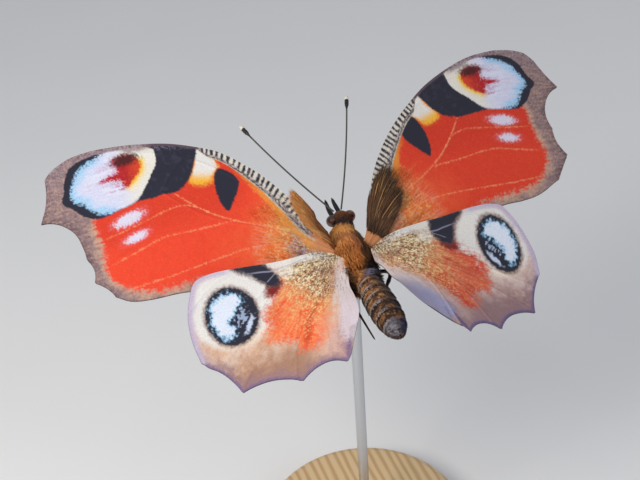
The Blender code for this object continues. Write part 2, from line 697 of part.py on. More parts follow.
def build():
    clear_scene()
    fur = make_material("brown_fur", (0.24, 0.09, 0.025), 0.85)
    horn = make_material("dark_horn", (0.02, 0.015, 0.014), 0.45)
    eye = make_material("eye_brown", (0.05, 0.025, 0.015), 0.2)
    red = make_material("red_scales", (0.65, 0.06, 0.02), 0.7)
    tan = make_material("tan_scales", (0.42, 0.23, 0.14), 0.7)
    wood = make_material("pale_wood", (0.55, 0.38, 0.22), 0.5)
    steel = make_material("steel_rod", (0.6, 0.6, 0.6), 0.3, 1.0)

    fore_outline = wing_outline(FORE_COSTA, FORE_TEETH, FORE_INNER)
    hind_outline = wing_outline(HIND_COSTA, HIND_TEETH, HIND_INNER)
    wings = []
    for word in ("left", "right"):
        wings.append(wing("forewing", word, fore_outline, FORE_VEINS, fore_surface, FORE_LAG, red))
        wings.append(wing("hindwing", word, hind_outline, HIND_VEINS, hind_surface, HIND_LAG, tan))
    build_thorax(fur)
    head_cutters = build_head(fur, eye)
    abdomen = build_abdomen(fur)
    feelers = build_feelers(horn)
    legs = build_legs(horn)
    rod = build_stand(wood, steel)

    around_thorax = thorax_body("thorax_clearance", fur, GAP)
    around_shoulders = [shoulder("shoulder_clearance", side, fur, GAP) for side in (-1.0, 1.0)]
    around_shoulders += hair_locks("lock_clearance", fur, GAP)
    around_head = head_clearance(fur)
    for item in wings:
        cut_clear(item, around_thorax, *around_shoulders)
    for item in legs + [abdomen, rod]:
        cut_clear(item, around_thorax)
    for item in feelers:
        cut_clear(item, around_head)
    for cutter in head_cutters + around_shoulders + [around_thorax, around_head]:
        bpy.data.objects.remove(cutter, do_unlink=True)


build()
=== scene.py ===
"""Looks of a peacock butterfly in flight on its display stand.

Shapes are worked out in millimetres in the wing frame: +X to the animal's right,
+Y forward, +Z up, with the origin between the wing roots. The wing patterns use the
wing's own flat coordinates, distance from the midline and distance forward.
"""

import math

import bpy
import numpy as np
from mathutils import Matrix


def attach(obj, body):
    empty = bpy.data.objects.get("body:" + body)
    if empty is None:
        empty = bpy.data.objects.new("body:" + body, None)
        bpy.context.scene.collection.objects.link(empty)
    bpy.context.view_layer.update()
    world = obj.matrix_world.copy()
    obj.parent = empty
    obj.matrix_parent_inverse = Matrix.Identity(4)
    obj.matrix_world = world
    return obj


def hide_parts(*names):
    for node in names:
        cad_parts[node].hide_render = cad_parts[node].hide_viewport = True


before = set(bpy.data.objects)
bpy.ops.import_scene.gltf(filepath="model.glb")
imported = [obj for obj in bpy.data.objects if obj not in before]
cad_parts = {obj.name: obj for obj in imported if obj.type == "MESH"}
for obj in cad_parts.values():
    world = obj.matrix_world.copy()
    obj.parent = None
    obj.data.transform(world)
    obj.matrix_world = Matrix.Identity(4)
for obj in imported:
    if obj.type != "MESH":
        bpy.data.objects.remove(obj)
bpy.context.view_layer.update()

MM = 0.001
WING_LEVEL = 40.0         # the wing frame's origin over the shelf
SIDES = ((-1.0, "left"), (1.0, "right"))

# Wing surfaces, as in the solids
FORE_ROOT_HEIGHT = 1.3
FORE_DROOP = 0.035
FORE_ARCH = 0.5
ARCH_SPAN = 26.0
WING_PITCH = 0.687
TRAILING_DROP = {"left": 1.0, "right": 0.6}
HIND_PITCH = 0.366
HIND_DROOP = 0.35
HIND_HEIGHT = 4.23
HIND_OVER_FORE = {"left": 1.22, "right": 0.92}
FOLD_SOFTNESS = 0.45
HUMP_HEIGHT = 2.0
HUMP_WIDTH = 3.5
ROOT_DIP = 1.9
ROOT_DIP_PLACE = (1.2, -3.3)
ROOT_DIP_WIDTH = 3.2
LAG = {"fore": math.radians(4.5), "hind": math.radians(1.5)}
LAG_CENTRE = (2.0, 0.0)

SHEET_HALF = 0.06         # half the thickness of the scaled membrane
VEIN_HEIGHT = 0.07
VEIN_HALF_WIDTH = 0.11
FINE_GRID = (405, 213)    # points along and across the upper face of a wing
COARSE_STEP = 4           # the underside has a point for every fourth of these

# The outlines of the real animal's two sides differ a little: front edge, teeth, inner edge
FORE_COSTA = {
    "left": [(1.1, -0.4), (1.9, 0.5), (2.6, 2.2), (3.4, 4.15), (4.5, 6.15), (5.6, 7.7), (6.9, 9.1),
             (8.2, 10.3), (9.6, 11.2), (12.7, 12.55), (15.9, 13.4), (18.5, 13.85), (20.5, 14.05),
             (22.3, 14.0), (23.6, 13.68), (24.5, 13.3), (25.13, 12.85)],
    "right": [(1.1, -0.4), (1.9, 0.5), (2.6, 1.9), (3.6, 3.65), (4.85, 5.65), (6.6, 7.65), (8.7, 9.5),
              (10.85, 11.0), (13.2, 12.4), (16.1, 13.6), (18.8, 14.4), (21.5, 14.68), (23.3, 14.56),
              (24.4, 14.32), (25.2, 13.97), (25.91, 13.17)],
}
FORE_TEETH = {
    "left": [((25.13, 12.85), 0.28), ((26.71, 9.45), 0.34), ((24.2, 8.15), 0.1), ((23.83, 6.86), 0.06),
             ((23.81, 5.55), 0.33), ((23.8, 3.58), 0.2), ((22.42, 1.95), 0.0)],
    "right": [((25.91, 13.17), 0.1), ((27.31, 10.26), 0.36), ((24.96, 8.41), 0.2), ((24.85, 6.5), 0.35),
              ((25.28, 3.87), 0.02), ((23.29, 1.85), 0.0)],
}
FORE_INNER = {
    "left": [(1.1, -1.4), (2.0, -1.9), (4.0, -2.1), (7.0, -1.6), (10.0, -0.8), (13.0, 0.0),
             (16.3, 0.68), (19.3, 0.96), (21.2, 1.3), (22.42, 1.95)],
    "right": [(1.1, -1.4), (2.0, -1.9), (4.0, -2.1), (7.0, -1.6), (10.0, -0.8), (13.0, 0.0),
              (16.4, 0.62), (18.8, 0.7), (20.85, 0.98), (23.29, 1.85)],
}
HIND_COSTA = {
    "left": [(1.4, -2.2), (2.4, -1.45), (3.9, -1.05), (6.5, -0.88), (8.6, -0.6), (11.5, -0.2),
             (13.6, 0.0), (15.0, -0.1), (15.7, -0.5), (16.3, -1.4), (16.8, -2.4), (17.1, -3.4),
             (17.2, -4.9), (17.0, -6.4)],
    "right": [(1.4, -2.0), (2.2, -1.6), (3.6, -1.1), (7.2, -0.4), (9.2, -0.2), (11.5, 0.05),
              (13.7, 0.2), (15.1, 0.1), (15.95, -0.25), (16.4, -1.0), (16.8, -2.0), (17.2, -3.7),
              (17.27, -4.9), (17.0, -6.45)],
}
HIND_TEETH = {
    "left": [((17.0, -6.4), 0.05), ((16.5, -6.95), 0.4), ((14.4, -9.95), 0.65), ((9.3, -11.75), 0.8),
             ((5.2, -12.45), 0.0), ((4.0, -9.95), 0.0)],
    "right": [((17.0, -6.45), 0.3), ((14.7, -10.1), 0.8), ((10.3, -11.9), 0.85), ((7.0, -12.25), 0.0),
              ((5.9, -9.85), 0.0)],
}
HIND_INNER = {
    "left": [(1.4, -3.2), (1.7, -3.9), (2.1, -5.3), (2.5, -7.6), (2.8, -9.2), (3.3, -10.1), (4.0, -9.95)],
    "right": [(1.4, -3.0), (2.0, -3.9), (2.2, -5.9), (2.35, -8.3), (2.9, -9.4), (3.7, -10.0), (4.6, -10.1),
              (5.3, -9.8), (5.9, -9.85)],
}
FORE_VEINS = [
    [(1.8, 1.0), (4.6, 4.6), (8.0, 8.0), (12.0, 11.0), (16.5, 12.7), (21.0, 13.2), (24.6, 12.7)],
    [(1.8, -0.4), (4.8, 1.9), (8.0, 3.6), (10.7, 4.9), (13.2, 6.7), (15.2, 8.8)],
    [(12.0, 11.0), (13.5, 10.2), (15.2, 8.8)],
    [(13.5, 10.2), (17.5, 10.6), (22.0, 10.6), (26.4, 9.9)],
    [(12.6, 6.2), (14.0, 7.3), (16.0, 7.7), (20.0, 7.2), (24.0, 6.8)],
    [(10.7, 4.9), (14.5, 5.2), (17.5, 5.5), (20.0, 5.1), (24.3, 4.3)],
    [(1.9, -0.8), (5.0, 1.0), (9.0, 2.1), (13.0, 2.3), (18.0, 2.2), (22.3, 2.3)],
]
HIND_VEINS = [
    [(1.8, -2.2), (6.3, -1.6), (8.2, -1.35), (11.4, -0.55), (14.0, -1.0), (16.6, -2.4)],
    [(6.3, -1.6), (8.6, -2.0), (10.5, -3.2), (13.0, -4.1), (16.9, -5.2)],
    [(1.8, -2.4), (4.2, -3.6), (6.3, -4.4), (10.0, -6.4), (14.2, -9.6)],
    [(9.5, -3.4), (12.2, -5.5), (15.5, -7.4)],
    [(6.3, -4.4), (8.3, -7.6), (9.7, -11.3)],
    [(4.2, -3.6), (5.6, -7.6), (6.3, -11.7)],
]


# Colour

def linear(code):
    """Linear red, green and blue of an sRGB hex colour."""
    values = np.array([int(code[i:i + 2], 16) for i in (1, 3, 5)]) / 255.0
    return np.where(values <= 0.04045, values / 12.92, ((values + 0.055) / 1.055) ** 2.4)


def tone(colour):
    """A colour's linear values, from its hex code or as they are given."""
    return linear(colour) if isinstance(colour, str) else colour


def blend(base, colour, mask):
    """Colours moved towards another colour: base + (colour - base) * mask, from 0 to 1."""
    return base + (tone(colour) - base) * np.clip(mask, 0.0, 1.0)[..., None]


def plain(colour, like):
    """One colour for every point."""
    return np.broadcast_to(tone(colour), like.shape + (3,)).copy()


def rise(start, end, value):
    """0 before start, 1 after end, with an S-shaped rise between; start may be the larger."""
    part = np.clip((value - start) / (end - start), 0.0, 1.0)
    return part * part * (3.0 - 2.0 * part)


def lattice(column, row, seed):
    """Fixed pseudo-random value from 0 to 1 for each lattice point."""
    mixed = (column.astype(np.int64) * 374761393 + row.astype(np.int64) * 668265263
             + seed * 1442695041)
    mixed = (mixed ^ (mixed >> 13)) * 1274126177
    mixed = mixed ^ (mixed >> 16)
    return (mixed & 0xFFFF) / 65535.0


def noise(x, y, size, seed=0, stretch=1.0):
    """Smooth value noise from 0 to 1 with grains of a size, stretched along x."""
    across = x / (size * stretch)
    upward = y / size
    column, row = np.floor(across), np.floor(upward)
    part_x, part_y = across - column, upward - row
    part_x = part_x * part_x * (3 - 2 * part_x)
    part_y = part_y * part_y * (3 - 2 * part_y)
    low = lattice(column, row, seed) * (1 - part_x) + lattice(column + 1, row, seed) * part_x
    high = (lattice(column, row + 1, seed) * (1 - part_x)
            + lattice(column + 1, row + 1, seed) * part_x)
    return low * (1 - part_y) + high * part_y


def grain(x, y, size, seed=0):
    """Two octaves of value noise, from 0 to 1."""
    return 0.62 * noise(x, y, size, seed) + 0.38 * noise(x, y, size * 0.47, seed + 7)


# Flat geometry

def smooth_curve(points, steps):
    """Points on a Catmull-Rom curve through the given points, steps to a span."""
    points = np.array(points, dtype=float)
    padded = np.vstack([2 * points[0] - points[1], points, 2 * points[-1] - points[-2]])
    before, here, after, beyond = (padded[i:len(padded) - 3 + i, None] for i in range(4))
    t = (np.arange(steps) / steps)[None, :, None]
    run = 0.5 * (2 * here + (after - before) * t
                 + (2 * before - 5 * here + 4 * after - beyond) * t ** 2
                 + (3 * here - before - 3 * after + beyond) * t ** 3)
    return np.vstack([run.reshape(-1, points.shape[1]), points[-1:]])


def scallops(teeth, steps):
    """Arcs from tooth to tooth, sagging inwards as a parabola by each tooth's depth."""
    run = []
    t = (np.arange(steps) / steps)[:, None]
    for (first, sag), (second, _) in zip(teeth[:-1], teeth[1:]):
        first, along = np.array(first), np.array(second) - np.array(first)
        inward = np.array([along[1], -along[0]]) / np.linalg.norm(along)
        run.append(first + along * t + inward * sag * 4.0 * t * (1.0 - t))
    return np.vstack(run + [np.array([teeth[-1][0]])])


def evenly(points, count):
    """A number of points at even distances along a polyline."""
    lengths = np.linalg.norm(np.diff(points, axis=0), axis=1)
    travel = np.concatenate([[0.0], np.cumsum(lengths)])
    wanted = np.linspace(0.0, travel[-1], count)
    return np.column_stack([np.interp(wanted, travel, points[:, axis])
                            for axis in range(points.shape[1])])


def distance_to(x, y, run):
    """Distance from each point to a polyline, and the distance travelled along it there."""
    best = np.full(x.shape, np.inf)
    travelled = np.zeros(x.shape)
    start = 0.0
    for first, second in zip(run[:-1], run[1:]):
        along = second - first
        length = math.hypot(*along)
        part = ((x - first[0]) * along[0] + (y - first[1]) * along[1]) / max(length ** 2, 1e-12)
        part = np.clip(part, 0.0, 1.0)
        far = np.hypot(x - first[0] - part * along[0], y - first[1] - part * along[1])
        closer = far < best
        best = np.where(closer, far, best)
        travelled = np.where(closer, start + part * length, travelled)
        start += length
    return best, travelled


def patch(x, y, corners, steps=5):
    """Signed distance to a smooth closed patch through the corners, below 0 inside."""
    ring = smooth_curve(list(corners) + [corners[0]], steps)
    far, _ = distance_to(x, y, ring)
    inside = np.zeros(x.shape, dtype=bool)
    for first, second in zip(ring[:-1], ring[1:]):
        height = second[1] - first[1] if second[1] != first[1] else 1e-9
        crosses = (first[1] > y) != (second[1] > y)
        inside ^= crosses & (x < first[0] + (y - first[1]) / height * (second[0] - first[0]))
    return np.where(inside, -far, far)


def oval(x, y, centre, half_length, half_width, turn=0.0):
    """Rough signed distance to an ellipse turned by an angle in degrees."""
    angle = math.radians(turn)
    along = (x - centre[0]) * math.cos(angle) + (y - centre[1]) * math.sin(angle)
    across = -(x - centre[0]) * math.sin(angle) + (y - centre[1]) * math.cos(angle)
    return (np.hypot(along / half_length, across / half_width) - 1.0) * min(half_length, half_width)


# Wing surfaces in space

def fore_slope(x, y):
    """Height of the forewing's sheet: a pitched plane that falls outwards as distance squared."""
    return FORE_ROOT_HEIGHT - FORE_DROOP * x + WING_PITCH * y - FORE_ARCH * (x / ARCH_SPAN) ** 2


def fore_surface(x, y, word):
    """Height of the forewing: a pitched sheet, arched outwards, its hind edge lowered."""
    drop = TRAILING_DROP[word] * rise(2.0, -2.0, y) * rise(5.0, 10.0, x)
    return fore_slope(x, y) - drop


def hind_surface(x, y, word):
    """Height of the hindwing: a plane and the forewing's slope joined by a smooth maximum."""
    plane = HIND_HEIGHT - HIND_DROOP * x + HIND_PITCH * y
    over = fore_slope(x, y) + HIND_OVER_FORE[word]
    top, low = np.maximum(plane, over), np.minimum(plane, over)
    sheet = top + FOLD_SOFTNESS * np.log1p(np.exp((low - top) / FOLD_SOFTNESS))
    hump = HUMP_HEIGHT * np.exp(-(x / HUMP_WIDTH) ** 2) * rise(-5.0, -10.0, y)
    away = (x - ROOT_DIP_PLACE[0]) ** 2 + (y - ROOT_DIP_PLACE[1]) ** 2
    return sheet + hump - ROOT_DIP * np.exp(-away / ROOT_DIP_WIDTH ** 2)


def to_side(points, kind, word):
    """Put a right wing's points on their side; the left wings are swept back a little."""
    points = np.array(points, dtype=float)
    if word == "right":
        return points
    lag = LAG[kind]
    x, y = points[..., 0] - LAG_CENTRE[0], points[..., 1] - LAG_CENTRE[1]
    turned = points.copy()
    turned[..., 0] = -(LAG_CENTRE[0] + math.cos(lag) * x + math.sin(lag) * y)
    turned[..., 1] = LAG_CENTRE[1] - math.sin(lag) * x + math.cos(lag) * y
    return turned


# Making pieces

def add_node(tree, kind, settings=None, links=None):
    """Add a shader node, set its properties and inputs, and link its inputs."""
    node = tree.nodes.new(kind)
    for key, value in (settings or {}).items():
        if hasattr(node, key):
            setattr(node, key, value)
        else:
            node.inputs[key].default_value = value
    for key, source in (links or {}).items():
        tree.links.new(source, node.inputs[key])
    return node


def new_material(name, settings):
    """A Principled material with its plain sockets set."""
    material = bpy.data.materials.new(name)
    material.use_nodes = True
    shader = material.node_tree.nodes["Principled BSDF"]
    for key, value in settings.items():
        shader.inputs[key].default_value = value
    return material, material.node_tree, shader


def make_piece(name, points, faces, material, colours=None, uv=None, sharp=False):
    """A piece from points in the wing frame, with point colours and a UV for each point.

    faces is an array of triangles or quads; a row of four may repeat its last corner.
    """
    points = np.asarray(points, dtype=float).reshape(-1, 3)
    faces = np.asarray(faces)
    mesh = bpy.data.meshes.new(name)
    count, corners = faces.shape
    mesh.vertices.add(len(points))
    placed = (points + np.array([0.0, 0.0, WING_LEVEL])) * MM
    mesh.vertices.foreach_set("co", placed.astype(np.float32).ravel())
    mesh.loops.add(count * corners)
    mesh.loops.foreach_set("vertex_index", faces.astype(np.int32).ravel())
    mesh.polygons.add(count)
    mesh.polygons.foreach_set("loop_start", np.arange(0, count * corners, corners, dtype=np.int32))
    mesh.update(calc_edges=True)
    mesh.validate()
    if colours is not None:
        layer = mesh.color_attributes.new("tint", "FLOAT_COLOR", "POINT")
        values = np.ones((len(points), 4), dtype=np.float32)
        values[:, :3] = np.asarray(colours).reshape(-1, 3)
        layer.data.foreach_set("color", values.ravel())
    if uv is not None:
        layer = mesh.uv_layers.new(name="OFBake")
        spread = np.asarray(uv, dtype=np.float32)[faces.ravel()]
        layer.data.foreach_set("uv", spread.ravel())
    if not sharp:
        mesh.shade_smooth()
    mesh.materials.append(material)
    item = bpy.data.objects.new(name, mesh)
    bpy.context.scene.collection.objects.link(item)
    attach(item, "root")
    return item


def grid_faces(rows, columns, closed=False, flip=False):
    """Quads of a grid of points, its columns joined into a ring where closed."""
    row, column = np.meshgrid(np.arange(rows - 1), np.arange(columns if closed else columns - 1),
                              indexing="ij")
    following = (column + 1) % columns
    quads = np.stack([row * columns + column, row * columns + following,
                      (row + 1) * columns + following, (row + 1) * columns + column], axis=-1)
    quads = quads.reshape(-1, 4)
    return quads[:, ::-1] if flip else quads


# Wing patterns: colours on a wing's flat coordinates; the forewing's are given for one side and shifted for
# the other, the hindwing's marks are listed for each side

RED = "#ec4426"
DEEP_RED = "#c92c17"
EMBER = "#f2703a"
GOLD = "#e6a246"
STRAW = "#f0cf8c"
PALE_VEIN = "#f59a6c"
VELVET = "#232434"
CREAM = "#e4e1dd"
YELLOW = "#f3b93c"
LILAC = "#d3d5ec"
SKY = "#8cc6ec"
MAUVE = "#907778"
DARK_MAUVE = "#5d4a55"
FRINGE_TAN = "#c9a48e"
UMBER = "#33271f"
GREY_VIOLET = "#9c95a8"
LAVENDER = "#c3b6cd"
BLOOD = "#7c1a1b"
UNDER_DARK = "#2a1f1c"
UNDER_LINE = "#4a3a33"


def fore_shift(x, y, word):
    """Pattern coordinates: the left wing's marks stand nearer its root and lower."""
    if word == "right":
        return x, y
    u = x + 1.15 * rise(2.0, 9.0, x) - 0.5 * rise(15.5, 23.0, x)
    return u, y + 0.2 + 0.3 * rise(2.0, 9.0, y) + 0.2 * rise(10.0, 13.5, y)


def fore_margin(x, y, u, v, word, fine):
    """Colour of the dusty margin, and how far it covers the red ground."""
    rim, _ = distance_to(x, y, scallops(FORE_TEETH[word], 12))
    field = patch(u, v, [(22.5, 9.4), (22.85, 8.2), (22.75, 6.6), (23.0, 5.2), (23.1, 4.0),
                         (22.5, 3.0), (21.4, 2.1), (19.5, 1.45), (15.0, 1.1), (5.0, -1.2),
                         (-4.0, -4.0), (-4.0, 24.0), (14.6, 24.0), (15.2, 14.0), (16.2, 12.8),
                         (20.0, 12.3), (22.5, 11.3)], 3)
    streaks = noise(x * 0.3, y, 0.15, 17)
    soft = noise(x, y, 0.9, 19)
    dust = grain(x, y, 0.11, 20)
    band = blend(plain(FRINGE_TAN, x), MAUVE, rise(-0.1, 0.9, field + 0.5 * (soft - 0.5)))
    band = blend(band, DARK_MAUVE, 0.75 * rise(0.65, 0.0, rim + 0.6 * (soft - 0.5)))
    band = blend(band, FRINGE_TAN, 0.35 * rise(0.55, 0.75, dust) + 0.25 * rise(0.5, 0.8, streaks))
    band = blend(band, DARK_MAUVE, 0.3 * rise(0.45, 0.3, dust) + 0.25 * rise(0.45, 0.2, streaks))
    band = blend(band, GREY_VIOLET, 0.35 * rise(11.5, 13.5, v) * rise(0.35, 0.75, dust))
    return band, rise(-0.32, 0.3, field + 0.35 * (streaks - 0.5) + 0.6 * (fine - 0.5))


# The forewing's eye mark: its rim, the part inside the black crescent, and the red pupil
EYE_RIM = [(15.65, 13.2), (15.75, 12.3), (16.05, 11.7), (16.7, 11.0), (17.5, 10.25), (18.4, 9.5),
           (19.2, 9.15), (20.4, 9.0), (21.4, 8.85), (22.2, 8.85), (23.0, 9.2), (23.6, 9.6), (24.2, 10.3),
           (24.8, 10.75), (24.92, 11.2), (24.5, 11.85), (24.2, 12.7), (23.7, 13.45), (22.9, 14.0),
           (21.9, 14.25), (20.6, 14.3), (19.2, 14.2), (17.6, 13.9), (16.4, 13.65)]
EYE_LIT = [(15.5, 13.2), (15.6, 12.3), (15.9, 11.7), (16.6, 10.9), (17.4, 10.1), (18.3, 9.35),
           (19.2, 9.0), (20.4, 8.95), (21.3, 9.0), (22.0, 9.15), (22.6, 9.65), (23.1, 10.25),
           (23.75, 10.65), (24.05, 11.1), (23.95, 11.7), (23.5, 12.4), (23.1, 13.0), (22.5, 13.5),
           (21.7, 13.8), (20.7, 14.05), (19.2, 14.4), (17.6, 14.1), (16.4, 13.85)]
EYE_PUPIL = [(17.25, 12.6), (17.3, 12.1), (17.55, 11.7), (18.0, 11.3), (18.5, 10.95), (19.05, 10.7),
             (19.3, 10.9), (19.3, 11.3), (19.9, 11.58), (21.0, 11.75), (20.3, 11.93), (19.5, 12.15),
             (19.35, 12.6), (19.65, 13.15), (19.1, 13.4), (18.2, 13.45), (17.6, 13.1)]
# Feathers of pink drawn out of the pupil: a line, and how strongly it shows
EYE_FEATHERS = [([(20.4, 11.76), (21.6, 11.7), (23.2, 11.5)], 0.55),
                ([(18.9, 10.85), (20.0, 10.65), (21.6, 10.4)], 0.75),
                ([(19.3, 12.7), (20.4, 12.85), (22.3, 12.8)], 0.5),
                ([(19.2, 11.2), (20.2, 11.15), (21.2, 11.1)], 0.4)]


def fore_eye(u, v, fine, speckle):
    """Colour of the forewing's eye mark, and its cover: cream, red, lilac, blue and a black crescent."""
    whole = patch(u, v, EYE_RIM, 3)
    lit = patch(u, v, EYE_LIT, 3)
    pupil = patch(u, v, EYE_PUPIL, 3)
    streaks = noise(u, v, 0.1, 23, stretch=8.0)
    eye = blend(plain("#e6e2d8", u), LILAC, rise(17.6, 20.4, u + 1.2 * (streaks - 0.5)))
    eye = blend(eye, "#e9eaf4", 0.4 * rise(0.5, 0.8, streaks) * rise(18.5, 20.0, u))
    for line, strength in EYE_FEATHERS:
        away, travel = distance_to(u, v, np.array(line))
        feather = rise(0.3, 0.0, away + 0.45 * (streaks - 0.5)) * rise(2.6, 0.3, travel)
        eye = blend(eye, "#bc5288", 1.25 * strength * feather * rise(0.35, 0.6, speckle))
    blue = rise(-1.1, -0.12, lit + 0.8 * (streaks - 0.5) + 0.5 * (speckle - 0.5)) * rise(19.9, 21.3, u)
    eye = blend(eye, SKY, 0.85 * blue)
    eye = blend(eye, "#cfe4f6", 0.5 * blue * rise(0.55, 0.7, speckle))

    # Yellow fringe, red pupil with a dark spot over it, and pink specks at its edge
    fringe = rise(19.5, 18.6, u) * rise(13.2, 12.4, v)
    eye = blend(eye, "#f2d88a", 0.8 * rise(0.75, 0.2, pupil + 0.3 * (fine - 0.5)) * fringe)
    eye = blend(eye, "#f0b93a", rise(0.36, 0.04, pupil + 0.3 * (fine - 0.5)) * fringe)
    scattered = rise(0.5, 0.0, pupil) * rise(18.6, 19.2, u) * rise(0.5, 0.62, speckle)
    eye = blend(eye, "#b8407a", 0.7 * scattered)
    red_cover = rise(0.12, -0.14, pupil + (0.35 + 0.6 * rise(18.4, 19.6, u)) * (speckle - 0.5))
    eye = blend(eye, "#d2401f", red_cover)
    eye = blend(eye, "#b01a20", red_cover * rise(17.5, 19.0, u + 0.8 * (fine - 0.5)))
    eye = blend(eye, "#d8503a", 0.5 * red_cover * rise(0.62, 0.74, speckle) * rise(12.6, 11.6, v))
    dark_spot = oval(u, v, (18.55, 13.05), 1.05, 0.45, 4.0)
    eye = blend(eye, "#4a161a", rise(0.3, -0.2, dark_spot + 0.5 * (fine - 0.5)))
    eye = blend(eye, "#8a6f74", 0.75 * rise(13.25, 13.6, v + 0.25 * (fine - 0.5)) * rise(16.2, 16.9, u)
                * rise(19.0, 18.0, u) * rise(0.3, 0.6, speckle))

    # Black crescent, scattered into the blue, and a thin dusky line along the foot
    scatter = rise(-0.2, 0.12, lit + 0.8 * (speckle - 0.5)) * rise(19.6, 20.8, u)
    eye = blend(eye, VELVET, 0.9 * scatter)
    eye = blend(eye, VELVET, rise(0.02, 0.12, lit + 0.2 * (speckle - 0.5)) * rise(19.2, 20.4, u))
    eye = blend(eye, "#5a4470", 0.65 * rise(-0.16, 0.0, whole + 0.16 * (speckle - 0.5))
                * rise(18.0, 19.2, u) * rise(22.5, 21.5, u))
    return eye, rise(0.05, -0.05, whole + 0.14 * (fine - 0.5))


# How strongly the dusty base of a forewing shows, and how wide its barred front edge is
BASE_DUST = {"left": 1.0, "right": 0.4}
BARRED_WIDTH = {"left": 1.4, "right": 1.65}
# Painted shade: deep red mixed into the right forewing's ground colour, as that wing lies in shade
GROUND_PAINTED_SHADE = {"left": 0.0, "right": 0.45}
# Painted shade: the right wings' colours are darkened, as that side lies in shade
SIDE_PAINTED_SHADE = {"left": 1.0, "right": 0.9}


